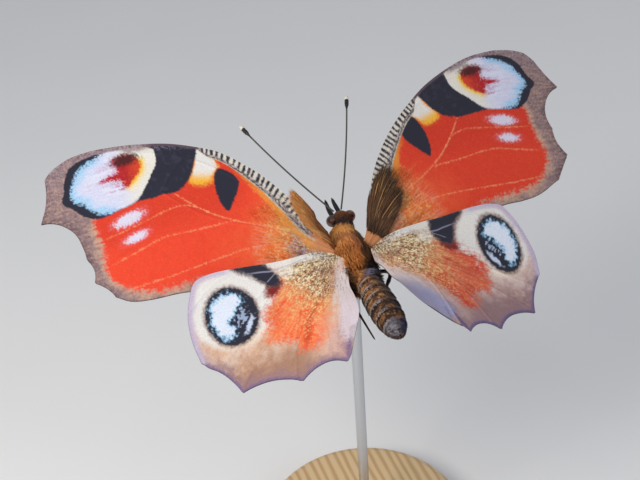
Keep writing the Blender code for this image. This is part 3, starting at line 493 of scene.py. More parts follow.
def fore_pattern(x, y, word):
    """Colours of a forewing's upper side."""
    u, v = fore_shift(x, y, word)
    fine = grain(x, y, 0.14, 3)
    rough = grain(x, y, 0.5, 5)
    speckle = grain(x, y, 0.12, 31)
    reach = np.hypot(u - 1.6, v + 0.6)
    bearing = np.arctan2(v + 0.6, u - 1.6)
    fibres = (0.6 * noise(reach, bearing * 9.0, 0.12, 11, 12.0)
              + 0.4 * noise(reach, bearing * 9.0, 0.05, 12, 16.0))

    # Deep red in the right forewing's ground is painted shade
    colours = blend(plain(RED, x), DEEP_RED, np.full(x.shape, GROUND_PAINTED_SHADE[word]))
    colours = blend(colours, DEEP_RED, 0.5 * rise(9.0, 12.0, reach) * rise(4.6, 7.6, v))
    colours = blend(colours, EMBER, 0.5 * rise(15.0, 7.0, reach + 2.0 * rough) * rise(6.5, 2.5, v))
    colours = blend(colours, DEEP_RED, 0.12 * rise(0.45, 0.75, rough) * rise(5.0, 9.0, reach))
    colours = blend(colours, EMBER, 0.14 * rise(0.58, 0.75, speckle))
    flecks = grain(x, y, 0.16, 13)
    glow = rise(9.6, 5.2, reach + 2.6 * (fibres - 0.5) + 1.8 * (rough - 0.5))
    colours = blend(colours, "#e37a36", 0.75 * glow)
    gilt = rise(7.6, 4.4, reach + 1.6 * (rough - 0.5)) * rise(1.4, 3.2, v)
    colours = blend(colours, "#d9ab58", 0.75 * gilt)
    colours = blend(colours, GOLD, 0.6 * glow * rise(0.48, 0.66, fibres))
    colours = blend(colours, STRAW, 0.6 * glow * rise(0.58, 0.7, flecks))
    colours = blend(colours, "#b4552a", 0.5 * glow * rise(0.42, 0.3, flecks))
    pale = rise(0.58, 0.72, fibres) * rise(5.0, 6.2, reach) * rise(9.6, 8.0, reach)
    colours = blend(colours, "#dba596", 0.4 * pale * rise(4.6, 3.4, v))
    dusty = rise(5.8, 3.6, reach + 2.0 * (rough - 0.5) + 0.8 * (fine - 0.5)) * rise(3.4, 1.9, v)
    dusty = dusty * BASE_DUST[word]
    colours = blend(colours, "#86655a", 0.75 * dusty)
    colours = blend(colours, GREY_VIOLET, 0.75 * dusty * rise(0.45, 0.62, flecks))
    colours = blend(colours, STRAW, 0.5 * dusty * rise(0.58, 0.68, speckle))
    colours = blend(colours, UMBER, 0.65 * dusty * rise(0.44, 0.32, speckle))

    for vein, width in ((FORE_VEINS[1], 0.14), (FORE_VEINS[4], 0.11), (FORE_VEINS[5], 0.11),
                        (FORE_VEINS[6], 0.1)):
        away, _ = distance_to(u, v, smooth_curve(vein, 5))
        shown = rise(width, 0.02, away + 0.26 * (speckle - 0.4)) * rise(4.5, 7.5, u) * rise(23.0, 21.0, u)
        colours = blend(colours, PALE_VEIN, 0.62 * shown)

    band, cover = fore_margin(x, y, u, v, word, fine)
    colours = blend(colours, band, cover)

    # A gilded line inside the barred front edge
    edge, travel = distance_to(x, y, smooth_curve(FORE_COSTA[word], 6))
    strip_width = (BARRED_WIDTH[word] * rise(1.0, 4.4, x) * (1.0 - 0.45 * rise(5.5, 10.5, u))
                   * rise(12.1, 10.8, u))
    part = edge / np.maximum(strip_width, 0.05)
    gilded = rise(1.6, 1.1, part + 0.5 * (rough - 0.5) + 0.4 * (speckle - 0.5)) * rise(9.4, 7.6, u)
    colours = blend(colours, "#e8993a", 0.75 * gilded)

    # Black patches along the front edge, with cream and yellow between them
    cream = patch(u, v, [(10.4, 9.9), (10.6, 11.0), (11.3, 11.9), (12.2, 12.2), (12.3, 10.9),
                         (13.0, 10.0), (13.3, 9.4), (12.4, 8.95), (11.6, 8.95), (11.2, 9.4)], 4)
    halo = 0.8 * rise(0.5, -0.15, cream + 0.6 * (fine - 0.5)) * rise(8.3, 9.1, v) * rise(10.2, 11.4, u)
    colours = blend(colours, "#f08a2c", halo)
    colours = blend(colours, YELLOW, rise(0.35, -0.25, cream + 0.5 * (fine - 0.5)))
    colours = blend(colours, CREAM, rise(0.15, -0.25, cream + 0.3 * (fine - 0.5))
                    * rise(9.1, 10.1, v - 0.3 * (u - 12.0)))
    tear = patch(u, v, [(8.9, 8.1), (9.3, 9.0), (10.2, 9.7), (10.75, 9.6), (11.15, 9.0), (11.4, 8.0),
                        (11.4, 7.0), (11.2, 6.2), (10.9, 5.95), (10.3, 6.5), (9.4, 7.4)], 4)
    colours = blend(colours, VELVET, rise(0.07, -0.07, tear + 0.16 * (fine - 0.5)))
    velvet = patch(u, v, [(11.9, 11.6), (11.8, 12.7), (14.0, 14.0), (15.6, 14.4), (16.6, 13.4),
                          (17.2, 12.0), (17.9, 10.9), (18.7, 9.9), (18.9, 9.35), (18.3, 9.2), (16.6, 9.05),
                          (15.2, 8.95), (14.1, 9.25), (13.2, 9.9), (12.5, 10.7)], 4)
    colours = blend(colours, VELVET, rise(0.08, -0.08, velvet + 0.2 * (fine - 0.5)))
    colours = blend(colours, "#3b3a4e", 0.4 * rise(0.0, -0.4, velvet) * rise(0.55, 0.75, rough))
    colours = blend(colours, GREY_VIOLET, 0.5 * rise(0.0, -0.2, velvet)
                    * rise(12.4, 13.2, v - 0.25 * (u - 14))
                    * rise(0.55, 0.65, speckle))

    eye, cover = fore_eye(u, v, fine, speckle)
    colours = blend(colours, eye, cover)

    for centre, half_length, half_width in (((19.85, 8.0), 1.34, 0.5), ((19.8, 6.3), 1.0, 0.38)):
        spot = oval(u, v, centre, half_length, half_width, -9.0)
        colours = blend(colours, "#e0a0b4", 0.25 * rise(0.3, 0.0, spot + 0.5 * (speckle - 0.5)))
        colours = blend(colours, "#dcd7ea", rise(0.12, -0.16, spot + 0.42 * (speckle - 0.5)))

    # Front edge: fine dark and cream cross-bars, a grey line inside them, then a brown line
    wander = 4.0 * (noise(travel, 0.4 * edge, 1.1, 41) - 0.5) + 1.4 * (fine - 0.5)
    bars = np.sin(2 * math.pi * (travel + 0.1 * edge) / 0.52 + wander)
    bars = bars + 1.3 * (noise(travel, edge, 0.34, 43) - 0.5)
    strip = blend(plain("#ddd5c6", x), "#2a2733", rise(-0.35, 0.35, bars))
    strip = blend(strip, GREY_VIOLET, 0.25 * rise(0.5, 0.7, speckle))
    inner = blend(plain("#a49a9c", x), "#4a414a", 0.8 * rise(0.52, 0.42, speckle))
    inner = blend(inner, "#d8cdbf", 0.8 * rise(0.58, 0.7, speckle))
    strip = blend(strip, inner, rise(0.56, 0.72, part + 0.3 * (fine - 0.5)))
    strip = blend(strip, UMBER, 0.5 * rise(0.76, 0.82, part) * rise(0.9, 0.84, part))
    strip = blend(strip, "#cfc0a4", 0.6 * rise(0.88, 0.94, part))
    colours = blend(colours, strip, rise(1.03, 0.97, part))
    colours = blend(colours, "#c98658", rise(2.1, 1.3, np.hypot(x - 1.6, y - 0.6) + 0.6 * (rough - 0.5)))
    line = rise(0.24, 0.1, edge - 0.1 * fine) * rise(10.8, 11.8, u)
    colours = blend(colours, DARK_MAUVE, line)
    dusted = rise(1.0, 0.35, edge / (0.75 - 0.4 * rise(17.6, 19.6, u))) * rise(15.4, 17.0, u)
    colours = blend(colours, MAUVE, 0.8 * dusted)
    colours = blend(colours, "#b3a4ad", 0.6 * dusted * rise(0.4, 0.65, speckle))
    return blend(colours, DARK_MAUVE, 0.55 * dusted * rise(0.48, 0.3, speckle))


# The two hindwings' marks; their down, edge, ground and blaze colours are lit and shaded copies, the right
# hindwing's darker, bluer ones painted shade
HIND_MARKS = {
    "left": {
        "eye": ((13.1, -3.78), 2.42, 2.32),
        "ring": ((12.8, -3.35), 3.95, 3.5),
        "black": [(8.7, -0.7), (9.4, -0.35), (11.7, -0.15), (11.4, -0.5), (10.4, -1.1), (9.5, -1.95),
                  (8.9, -2.55), (8.0, -2.6), (7.95, -2.0), (8.3, -1.4)],
        "foot": (8.7, -2.85),
        "down": "#cdc1cb",
        "edge": "#75608a",
        "ground": ("#d9b298", "#a98069"),
        "blaze": ("#ee7541", "#e64a22"),
        "field": [(8.5, -2.9), (9.1, -3.7), (9.9, -4.6), (10.4, -5.7), (10.6, -6.5), (9.9, -7.5),
                  (8.9, -8.2), (8.1, -9.2), (7.3, -9.6), (6.2, -9.4), (5.4, -8.8), (4.8, -7.5),
                  (3.9, -5.6), (2.8, -3.8), (2.0, -2.4), (3.0, -0.8), (8.0, -0.8)],
        "band": [(1.0, -2.2), (2.0, -2.3), (2.9, -4.0), (3.6, -6.0), (4.05, -8.0), (4.6, -9.6),
                 (4.4, -10.8), (2.0, -12.0), (0.0, -8.0)],
    },
    "right": {
        "eye": ((14.1, -3.42), 1.97, 2.56),
        "ring": ((13.5, -3.25), 3.5, 3.6),
        "black": [(8.0, -0.6), (8.4, -0.2), (11.4, 0.1), (11.2, -0.4), (10.5, -0.95), (10.1, -1.7),
                  (9.7, -2.5), (9.2, -2.75), (8.5, -2.5), (7.9, -1.9), (7.8, -1.3)],
        "foot": (9.1, -2.85),
        "down": "#a4a2c4",
        "edge": "#5e5488",
        "ground": ("#d0b2aa", "#9a7a7c"),
        "blaze": ("#d86242", "#c03a20"),
        "field": [(9.0, -3.0), (10.5, -3.5), (11.4, -4.5), (11.9, -6.0), (11.2, -7.2), (10.7, -7.9),
                  (9.7, -8.2), (8.8, -9.5), (7.8, -9.5), (7.0, -8.4), (5.5, -6.9), (4.1, -5.0),
                  (2.3, -3.7), (1.7, -2.4), (3.0, -0.6), (8.0, -0.6)],
        "band": [(1.0, -2.2), (1.8, -2.9), (2.7, -4.8), (4.1, -6.9), (5.5, -8.7), (6.3, -10.0),
                 (5.0, -11.5), (2.0, -12.0), (0.0, -8.0)],
    },
}


def hind_eye(x, y, marks, fine):
    """Colour of the hindwing's eye mark: a black ring, a pale blue pool, an island and a bar."""
    (across, down), half_width, half_height = marks["eye"]
    u, v = (x - across) / half_width * 2.4, (y - down) / half_height * 2.4
    wild = grain(x, y, 0.2, 71) - 0.5
    pool = patch(u, v, [(-1.35, 1.05), (-0.9, 1.65), (0.1, 1.9), (1.2, 1.55), (1.82, 0.6), (1.9, -0.23),
                        (1.5, -1.2), (0.85, -1.6), (0.3, -1.5), (0.2, -0.95), (0.5, -0.5), (-0.1, -0.05),
                        (-0.45, 0.5), (-0.9, 0.75)], 4)
    bar = oval(u, v, (-1.3, -1.14), 0.85, 0.22, -48.0)
    island = oval(u, v, (-0.8, -0.3), 0.5, 0.32, -40.0)
    pool_cover = rise(0.12, -0.14, pool + 0.75 * wild)
    eye = plain(VELVET, x)
    eye = blend(eye, SKY, 0.55 * rise(0.3, 0.05, pool + 1.0 * wild))
    eye = blend(eye, "#aabede", 0.8 * rise(0.05, -0.1, island + 1.3 * wild))
    eye = blend(eye, "#dde6f5", pool_cover)
    eye = blend(eye, SKY, 0.7 * pool_cover * rise(-0.3, 0.05, pool + 0.7 * wild))
    return blend(eye, "#c4d3ec", rise(0.1, -0.1, bar + 0.3 * wild))


def hind_pattern(x, y, word):
    """Colours of a hindwing's upper side."""
    marks = HIND_MARKS[word]
    fine = grain(x, y, 0.14, 53)
    rough = grain(x, y, 0.55, 55)
    speckle = grain(x, y, 0.13, 67)
    reach = np.hypot(x - 1.9, y + 1.4)
    bearing = np.arctan2(-(y + 1.4), x - 1.9)
    fibres = (0.55 * noise(reach, bearing * 9.0, 0.16, 61, 9.0)
              + 0.45 * noise(reach, bearing * 9.0, 0.06, 62, 12.0))
    soft_rays = 0.6 * noise(reach, bearing * 9.0, 0.3, 63, 9.0) + 0.4 * rough
    flecks = 0.5 * noise(reach, bearing * 6.0, 0.09, 65, 1.6) + 0.5 * grain(x, y, 0.1, 66)

    # Tan ground with pale rays, browner towards the teeth
    # On the right hindwing the ground, blaze, edge and down colours are painted shade
    near, far = marks["ground"]
    ground = blend(plain(near, x), far, rise(-6.5, -9.6, y + 1.6 * (rough - 0.5)) * rise(6.0, 9.0, x))
    ground = blend(ground, CREAM, 0.3 * rise(0.4, 0.75, soft_rays) * rise(-9.8, -6.5, y))
    ground = blend(ground, "#8a6256", 0.2 * rise(0.5, 0.2, soft_rays) + 0.15 * rise(0.45, 0.3, speckle))
    ground = blend(ground, "#c49cab", 0.35 * rise(8.0, 5.0, x) * rise(-8.0, -9.5, y))

    # Orange-red field, golden towards the root, with a deep red crease line that is painted shade of a fold
    field = patch(x, y, marks["field"], 4)
    light, deep = marks["blaze"]
    orange = blend(plain(light, x), deep, 0.85 * rise(0.42, 0.68, soft_rays))
    orange = blend(orange, "#ee9a6a", 0.35 * rise(0.42, 0.25, fibres))
    orange = blend(orange, DEEP_RED, 0.4 * rise(8.0, 9.6, x + 1.0 * (rough - 0.5)) * rise(-6.8, -5.0, y))
    golden = rise(8.6, 4.2, reach + 2.6 * (fibres - 0.5) + 2.4 * (rough - 0.5))
    orange = blend(orange, "#dd9a62", 0.8 * golden)
    orange = blend(orange, STRAW, 0.8 * golden * rise(0.5, 0.64, flecks))
    shaded_crease, _ = distance_to(x, y, smooth_curve([(2.4, -2.6), (3.6, -4.2), (5.0, -5.7), (6.6, -6.8),
                                                (7.6, -8.6)], 5))
    orange = blend(orange, "#c2400f", 0.65 * rise(0.5, 0.05, shaded_crease + 0.6 * (fibres - 0.5)))
    umber = rise(7.2, 4.0, reach + 2.0 * (rough - 0.5)) * rise(0.44, 0.32, flecks)
    orange = blend(orange, "#5a3a26", 0.5 * umber)
    orange = blend(orange, STRAW, 0.7 * rise(0.56, 0.66, speckle) * rise(10.0, 6.0, reach)
                   * rise(1.5, 0.3, shaded_crease + 0.5 * (rough - 0.5)))
    loose = field + 0.7 * (fibres - 0.5) + 1.2 * (rough - 0.5) + 0.9 * (speckle - 0.5)
    orange = blend(orange, "#f6bd8a", 0.25 * rise(0.6, 0.7, speckle))
    orange = blend(orange, "#dcab92", 0.6 * rise(7.2, 5.2, x + (rough - 0.5)) * rise(-6.6, -8.6, y))

    # Cream field round the eye mark, under the orange
    ring = oval(x, y, *marks["ring"])
    cream = rise(0.4, -0.35, ring + 0.3 * (fine - 0.5) + 0.22 * np.maximum(-4.5 - y, 0.0))
    colours = blend(ground, CREAM, cream)
    colours = blend(colours, "#efcfae", 0.6 * cream * rise(-4.8, -6.6, y))
    colours = blend(colours, orange, rise(0.7, -0.6, loose))

    # Mottled base and the cream front strip
    base = patch(x, y, [(1.5, -1.3), (4.5, -0.7), (8.2, -0.5), (8.1, -1.7), (7.3, -2.8), (6.2, -3.7),
                        (5.3, -5.0), (4.4, -5.0), (3.4, -3.9), (2.4, -2.9), (1.3, -2.4)], 4)
    base_cover = rise(1.0, -0.7, base + 1.5 * (fibres - 0.5) + 1.6 * (speckle - 0.5))
    dots = 0.6 * grain(x, y, 0.1, 66) + 0.4 * noise(reach, bearing * 6.0, 0.12, 65, 1.8)
    mottle = blend(plain("#c2a06a", x), "#efe2c4", rise(0.46, 0.68, dots))
    mottle = blend(mottle, "#45342a", 0.85 * rise(0.48, 0.32, dots + 0.06 * rise(4.5, 8.0, x)))
    mottle = blend(mottle, "#8f8aa0", 0.4 * rise(4.5, 2.0, reach) * rise(0.55, 0.7, fine))
    mottle = blend(mottle, "#b04a2a", 0.6 * rise(-1.9, -3.2, y) * rise(0.5, 0.64, fine))
    mottle = blend(mottle, "#6a3a2a", 0.5 * rise(3.6, 1.8, reach) * rise(0.4, 0.6, rough))
    mottle = blend(mottle, CREAM, 0.55 * rise(5.6, 7.2, x) * rise(-2.8, -1.9, y))
    colours = blend(colours, mottle, base_cover)
    front, _ = distance_to(x, y, smooth_curve(HIND_COSTA[word], 5))
    strip = rise(0.85, 0.35, front + 0.3 * (fine - 0.5)) * rise(9.0, 8.2, x)
    colours = blend(colours, CREAM, strip * 0.85 * rise(2.0, 5.0, x))
    colours = blend(colours, UMBER, strip * rise(0.42, 0.34, flecks) * rise(6.0, 3.0, x))

    # Black patch at the front edge, crossed by pale veins, with a dark red foot
    black = patch(x, y, marks["black"], 4)
    foot = oval(x, y, marks["foot"], 0.7, 0.4, -20.0)
    colours = blend(colours, BLOOD, rise(0.35, -0.1, foot + 0.35 * (fine - 0.5)))
    colours = blend(colours, "#6b4a44", 0.6 * rise(0.35, 0.0, black + 0.3 * (fine - 0.5)))
    colours = blend(colours, VELVET, rise(0.2, -0.2, black + 0.3 * (fine - 0.5)))
    for vein in ([(5.0, -1.35), (7.9, -1.45), (9.4, -1.15), (11.8, -0.7)],
                 [(7.9, -1.6), (8.4, -1.85), (9.0, -2.15)]):
        away, _ = distance_to(x, y, smooth_curve(vein, 5))
        colours = blend(colours, "#a9a9c4", 0.6 * rise(0.08, 0.01, away) * rise(11.0, 9.6, x))

    # Eye mark with a soft brown halo
    mark = oval(x, y, *marks["eye"])
    colours = blend(colours, "#6a4034", 0.75 * rise(0.4, 0.0, mark + 0.3 * (fine - 0.5)))
    colours = blend(colours, hind_eye(x, y, marks, fine), rise(0.08, -0.06, mark + 0.22 * (fine - 0.5)))

    # Margins: lavender front edge, mauve and violet outer edge, pale hairy inner margin
    outer = scallops(HIND_TEETH[word], 12)
    edge, _ = distance_to(x, y, np.vstack([smooth_curve(HIND_COSTA[word][-6:], 5), outer]))
    colours = blend(colours, LAVENDER, 0.6 * rise(0.9, 0.2, edge + 0.4 * (rough - 0.5))
                    * rise(-8.0, -4.0, y))
    colours = blend(colours, "#94757f", 0.7 * rise(1.2, 0.2, edge + 0.9 * (rough - 0.5) + 0.3
                                                   * (speckle - 0.5))
                    * rise(-4.0, -7.5, y))
    colours = blend(colours, marks["edge"], 0.85 * rise(0.34, 0.04, edge + 0.3 * (fine - 0.5))
                    * rise(-1.0, -3.0, y))
    colours = blend(colours, LAVENDER, 0.85 * rise(0.6, 0.2, front) * rise(11.5, 12.8, x))
    band = patch(x, y, marks["band"], 4)
    down = blend(plain("#e0d3d2", x), marks["down"], rise(-4.5, -9.0, y + (rough - 0.5)))
    down = blend(down, "#c9a68e", 0.5 * rise(-3.6, -2.4, y) + 0.25 * rise(0.4, 0.3, fibres))
    return blend(colours, down, rise(0.5, -0.3, band + 0.7 * (fine - 0.5)))


def under_pattern(x, y):
    """Colours of a wing's underside: nearly black, with fine wavy lines and a paler margin."""
    waves = np.sin(2 * math.pi * (x + 0.35 * y + 1.2 * noise(x, y, 1.6, 81)) / 0.7)
    colours = blend(plain(UNDER_DARK, x), UNDER_LINE,
                    0.6 * rise(0.5, 0.9, waves) + 0.25 * noise(x, y, 0.3, 83))
    return blend(colours, "#5b4a41", 0.5 * rise(0.45, 0.7, noise(x, y, 2.6, 85)))


WING_LINES = {"fore": (FORE_COSTA, FORE_TEETH, FORE_INNER), "hind": (HIND_COSTA, HIND_TEETH, HIND_INNER)}
WING_MAKE = {"fore": (FORE_VEINS, fore_surface, fore_pattern),
             "hind": (HIND_VEINS, hind_surface, hind_pattern)}


def make_wing(kind, word, material):
    """A closed thin sheet: a fine patterned upper grid and a coarse underside.

    The grid blends the four edges of the outline (a Coons patch): point (s, t) is
    the sum of the two pairs of edges, each blended across, less the blended corners.
    """
    front, teeth, inner = (lines[word] for lines in WING_LINES[kind])
    veins, surface, pattern = WING_MAKE[kind]
    along, across = FINE_GRID
    top = evenly(smooth_curve(front, 10), along)
    low = evenly(smooth_curve(inner, 10), along)
    tip = evenly(scallops(teeth, 24), across)
    root = np.linspace(top[0], low[0], across)
    s = np.linspace(0, 1, along)[:, None, None]
    t = np.linspace(0, 1, across)[None, :, None]
    flat = ((1 - t) * top[:, None] + t * low[:, None] + (1 - s) * root[None] + s * tip[None]
            - (1 - s) * (1 - t) * top[0] - (1 - s) * t * low[0] - s * (1 - t) * top[-1]
            - s * t * low[-1])
    x, y = flat[..., 0], flat[..., 1]
    height = surface(x, y, word)
    vein_far = np.min([distance_to(x, y, smooth_curve(vein, 5))[0] for vein in veins], axis=0)
    ridge = VEIN_HEIGHT * np.exp(-(vein_far / VEIN_HALF_WIDTH) ** 2)
    pleat = 0.035 * np.cos(np.minimum(vein_far, 1.4) / 1.4 * math.pi)
    upper = np.stack([x, y, height + SHEET_HALF + ridge + pleat], axis=-1)
    lower = np.stack([x, y, height - SHEET_HALF + pleat], axis=-1)[::COARSE_STEP, ::COARSE_STEP]
    points = np.vstack([to_side(upper.reshape(-1, 3), kind, word),
                        to_side(lower.reshape(-1, 3), kind, word)])
    # The right wings' pattern is darkened here as painted shade
    colours = np.vstack([pattern(x, y, word).reshape(-1, 3) * SIDE_PAINTED_SHADE[word],
                         under_pattern(x, y)[::COARSE_STEP, ::COARSE_STEP].reshape(-1, 3)])
    number = np.arange(along * across).reshape(along, across)
    coarse = np.arange(lower.shape[0] * lower.shape[1]).reshape(lower.shape[:2]) + along * across
    upper_faces = grid_faces(along, across, flip=True)
    lower_faces = grid_faces(*lower.shape[:2]) + along * across
    fine_rim = np.concatenate([number[:-1, 0], number[-1, :-1], number[:0:-1, -1], number[0, :0:-1]])
    coarse_rim = np.concatenate([coarse[:-1, 0], coarse[-1, :-1], coarse[:0:-1, -1],
                                 coarse[0, :0:-1]])
    # Each coarse rim edge meets four fine ones in a fan, and a quad with a doubled corner is a triangle
    steps = np.arange(len(coarse_rim))
    rim = []
    for part in range(COARSE_STEP):
        first = fine_rim[(steps * COARSE_STEP + part) % len(fine_rim)]
        second = fine_rim[(steps * COARSE_STEP + part + 1) % len(fine_rim)]
        owner = coarse_rim if part < 2 else np.roll(coarse_rim, -1)
        rim.append(np.stack([first, second, owner], axis=1))
    middle = fine_rim[(steps * COARSE_STEP + 2) % len(fine_rim)]
    rim.append(np.stack([coarse_rim, middle, np.roll(coarse_rim, -1)], axis=1))
    rim = np.vstack(rim)
    quads = np.vstack([upper_faces, lower_faces])
    triangles = np.vstack([quads[:, [0, 1, 2]], quads[:, [0, 2, 3]], rim])
    if word == "left":
        triangles = triangles[:, ::-1]
    node = kind + "wing_" + word
    piece = make_piece(node + "_scales", points, triangles, material, colours)
    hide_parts(node)
    return piece


# Body

BODY_YAW = math.radians(7.2)
HEAD_YAW = math.radians(-5.0)
ABDOMEN_YAW = math.radians(1.1)
THORAX_CENTRE = np.array([0.0, -0.5, -0.65])
HEAD_CENTRE = np.array([1.0, 5.1, 0.57])
ABDOMEN_ROOT = np.array([0.1, -3.2, -0.35])
ABDOMEN_TIP = np.array([-0.2, -12.95, -0.05])
RING_COUNT = 7
RINGS_END = 0.9           # part of the abdomen's length that the rings take up
RING_STEP = 0.07
# Distance forward of the head's centre, half width and half height, under the coat
HEAD_SECTIONS = [(0.93, 0.06, 0.06), (0.88, 0.36, 0.34), (0.68, 0.65, 0.62), (0.3, 0.86, 0.86),
                 (-0.1, 0.9, 0.9), (-0.55, 0.86, 0.83)]
# Distance forward of the thorax's centre, half width, half height and rise
THORAX_SECTIONS = [(4.05, 1.22, 1.05, 0.62), (3.5, 1.45, 1.38, 0.38), (2.6, 1.7, 1.7, 0.1),
                   (1.6, 1.87, 2.0, 0.0), (0.4, 1.95, 2.12, 0.0), (-0.9, 1.86, 2.0, 0.0),
                   (-2.1, 1.55, 1.62, 0.1), (-3.0, 1.22, 1.2, 0.18)]
# Part of the way to the tip, and radius
ABDOMEN_SECTIONS = [(0.1, 1.0), (0.2, 1.2), (0.35, 1.36), (0.5, 1.42), (0.65, 1.4), (0.78, 1.27),
                    (0.88, 1.05), (0.95, 0.72), (0.985, 0.42), (0.998, 0.08)]
BODY_STEPS = 12           # sections worked out between two given ones


def unit(vectors):
    """Vectors divided by their lengths."""
    vectors = np.asarray(vectors, dtype=float)
    return vectors / np.linalg.norm(vectors, axis=-1, keepdims=True)


def body_axis(yaw=BODY_YAW):
    """Unit vectors of a part of the body: forward, to its right, and up."""
    forward = unit([math.sin(yaw), math.cos(yaw), 0.04])
    right = unit(np.cross(forward, (0.0, 0.0, 1.0)))
    return forward, right, np.cross(right, forward)


def on_head(offset, side):
    """A place given from the head's centre as sideways, forward and up."""
    forward, right, up = body_axis(HEAD_YAW)
    return HEAD_CENTRE + side * offset[0] * right + offset[1] * forward + offset[2] * up


def body_sections():
    """Rows of centre, half width, half height and yaw from the face to the abdomen's tip."""
    rows = []
    forward, _, _ = body_axis(HEAD_YAW)
    for far, width, height in HEAD_SECTIONS:
        rows.append([*(HEAD_CENTRE + far * forward), width, height, HEAD_YAW])
    forward, _, up = body_axis()
    for far, width, height, lift in THORAX_SECTIONS:
        rows.append([*(THORAX_CENTRE + far * forward + lift * up), width, height, BODY_YAW])
    for part, radius in ABDOMEN_SECTIONS:
        rows.append([*(ABDOMEN_ROOT + (ABDOMEN_TIP - ABDOMEN_ROOT) * part), radius, radius, ABDOMEN_YAW])
    return smooth_curve(rows, BODY_STEPS)


SECTIONS = body_sections()
HEAD_END = (len(HEAD_SECTIONS) - 0.5) * BODY_STEPS
THORAX_END = (len(HEAD_SECTIONS) + len(THORAX_SECTIONS) - 0.5) * BODY_STEPS


def abdomen_part(y):
    """How far along the abdomen a place is: 0 at its root and 1 at its tip."""
    return (ABDOMEN_ROOT[1] - y) / (ABDOMEN_ROOT[1] - ABDOMEN_TIP[1])


def body_place(row, angle):
    """Point, outward normal and hindward direction on the skin, for a section and an angle.

    The angle runs from the right side over the back; each section is an ellipse.
    """
    row, angle = np.broadcast_arrays(np.asarray(row, dtype=float), np.asarray(angle, dtype=float))
    numbers = np.arange(len(SECTIONS))
    values = np.stack([np.interp(row, numbers, SECTIONS[:, column]) for column in range(6)], axis=-1)
    ahead = np.stack([np.interp(row + 0.6, numbers, SECTIONS[:, column]) for column in range(3)], axis=-1)
    behind = np.stack([np.interp(row - 0.6, numbers, SECTIONS[:, column]) for column in range(3)], axis=-1)
    centre, width, height, yaw = values[..., :3], values[..., 3], values[..., 4], values[..., 5]
    right = np.stack([np.cos(yaw), -np.sin(yaw), 0 * yaw], axis=-1)
    up = np.zeros_like(right)
    up[..., 2] = 1.0
    part = abdomen_part(centre[..., 1])
    ring = part * RING_COUNT / RINGS_END
    swell = 1.0 + RING_STEP * ((ring % 1.0) ** 2 - 0.5) * rise(0.1, 0.2, part) * rise(1.0, 0.9, part)
    outward = (np.cos(angle) * width * swell)[..., None] * right + (
        np.sin(angle) * height * swell)[..., None] * up
    normal = unit((np.cos(angle) / width)[..., None] * right + (np.sin(angle) / height)[..., None] * up)
    return centre + outward, normal, unit(ahead - behind)


FUR_BROWN = "#a8662c"
FUR_ORANGE = "#dc944a"
FUR_DARK = "#4a2d1d"
FUR_BLACK = "#241a18"
FUR_BLUE = "#8b90ad"
FUR_GREY = "#bdb4bb"
FUR_GOLD = "#c48a50"


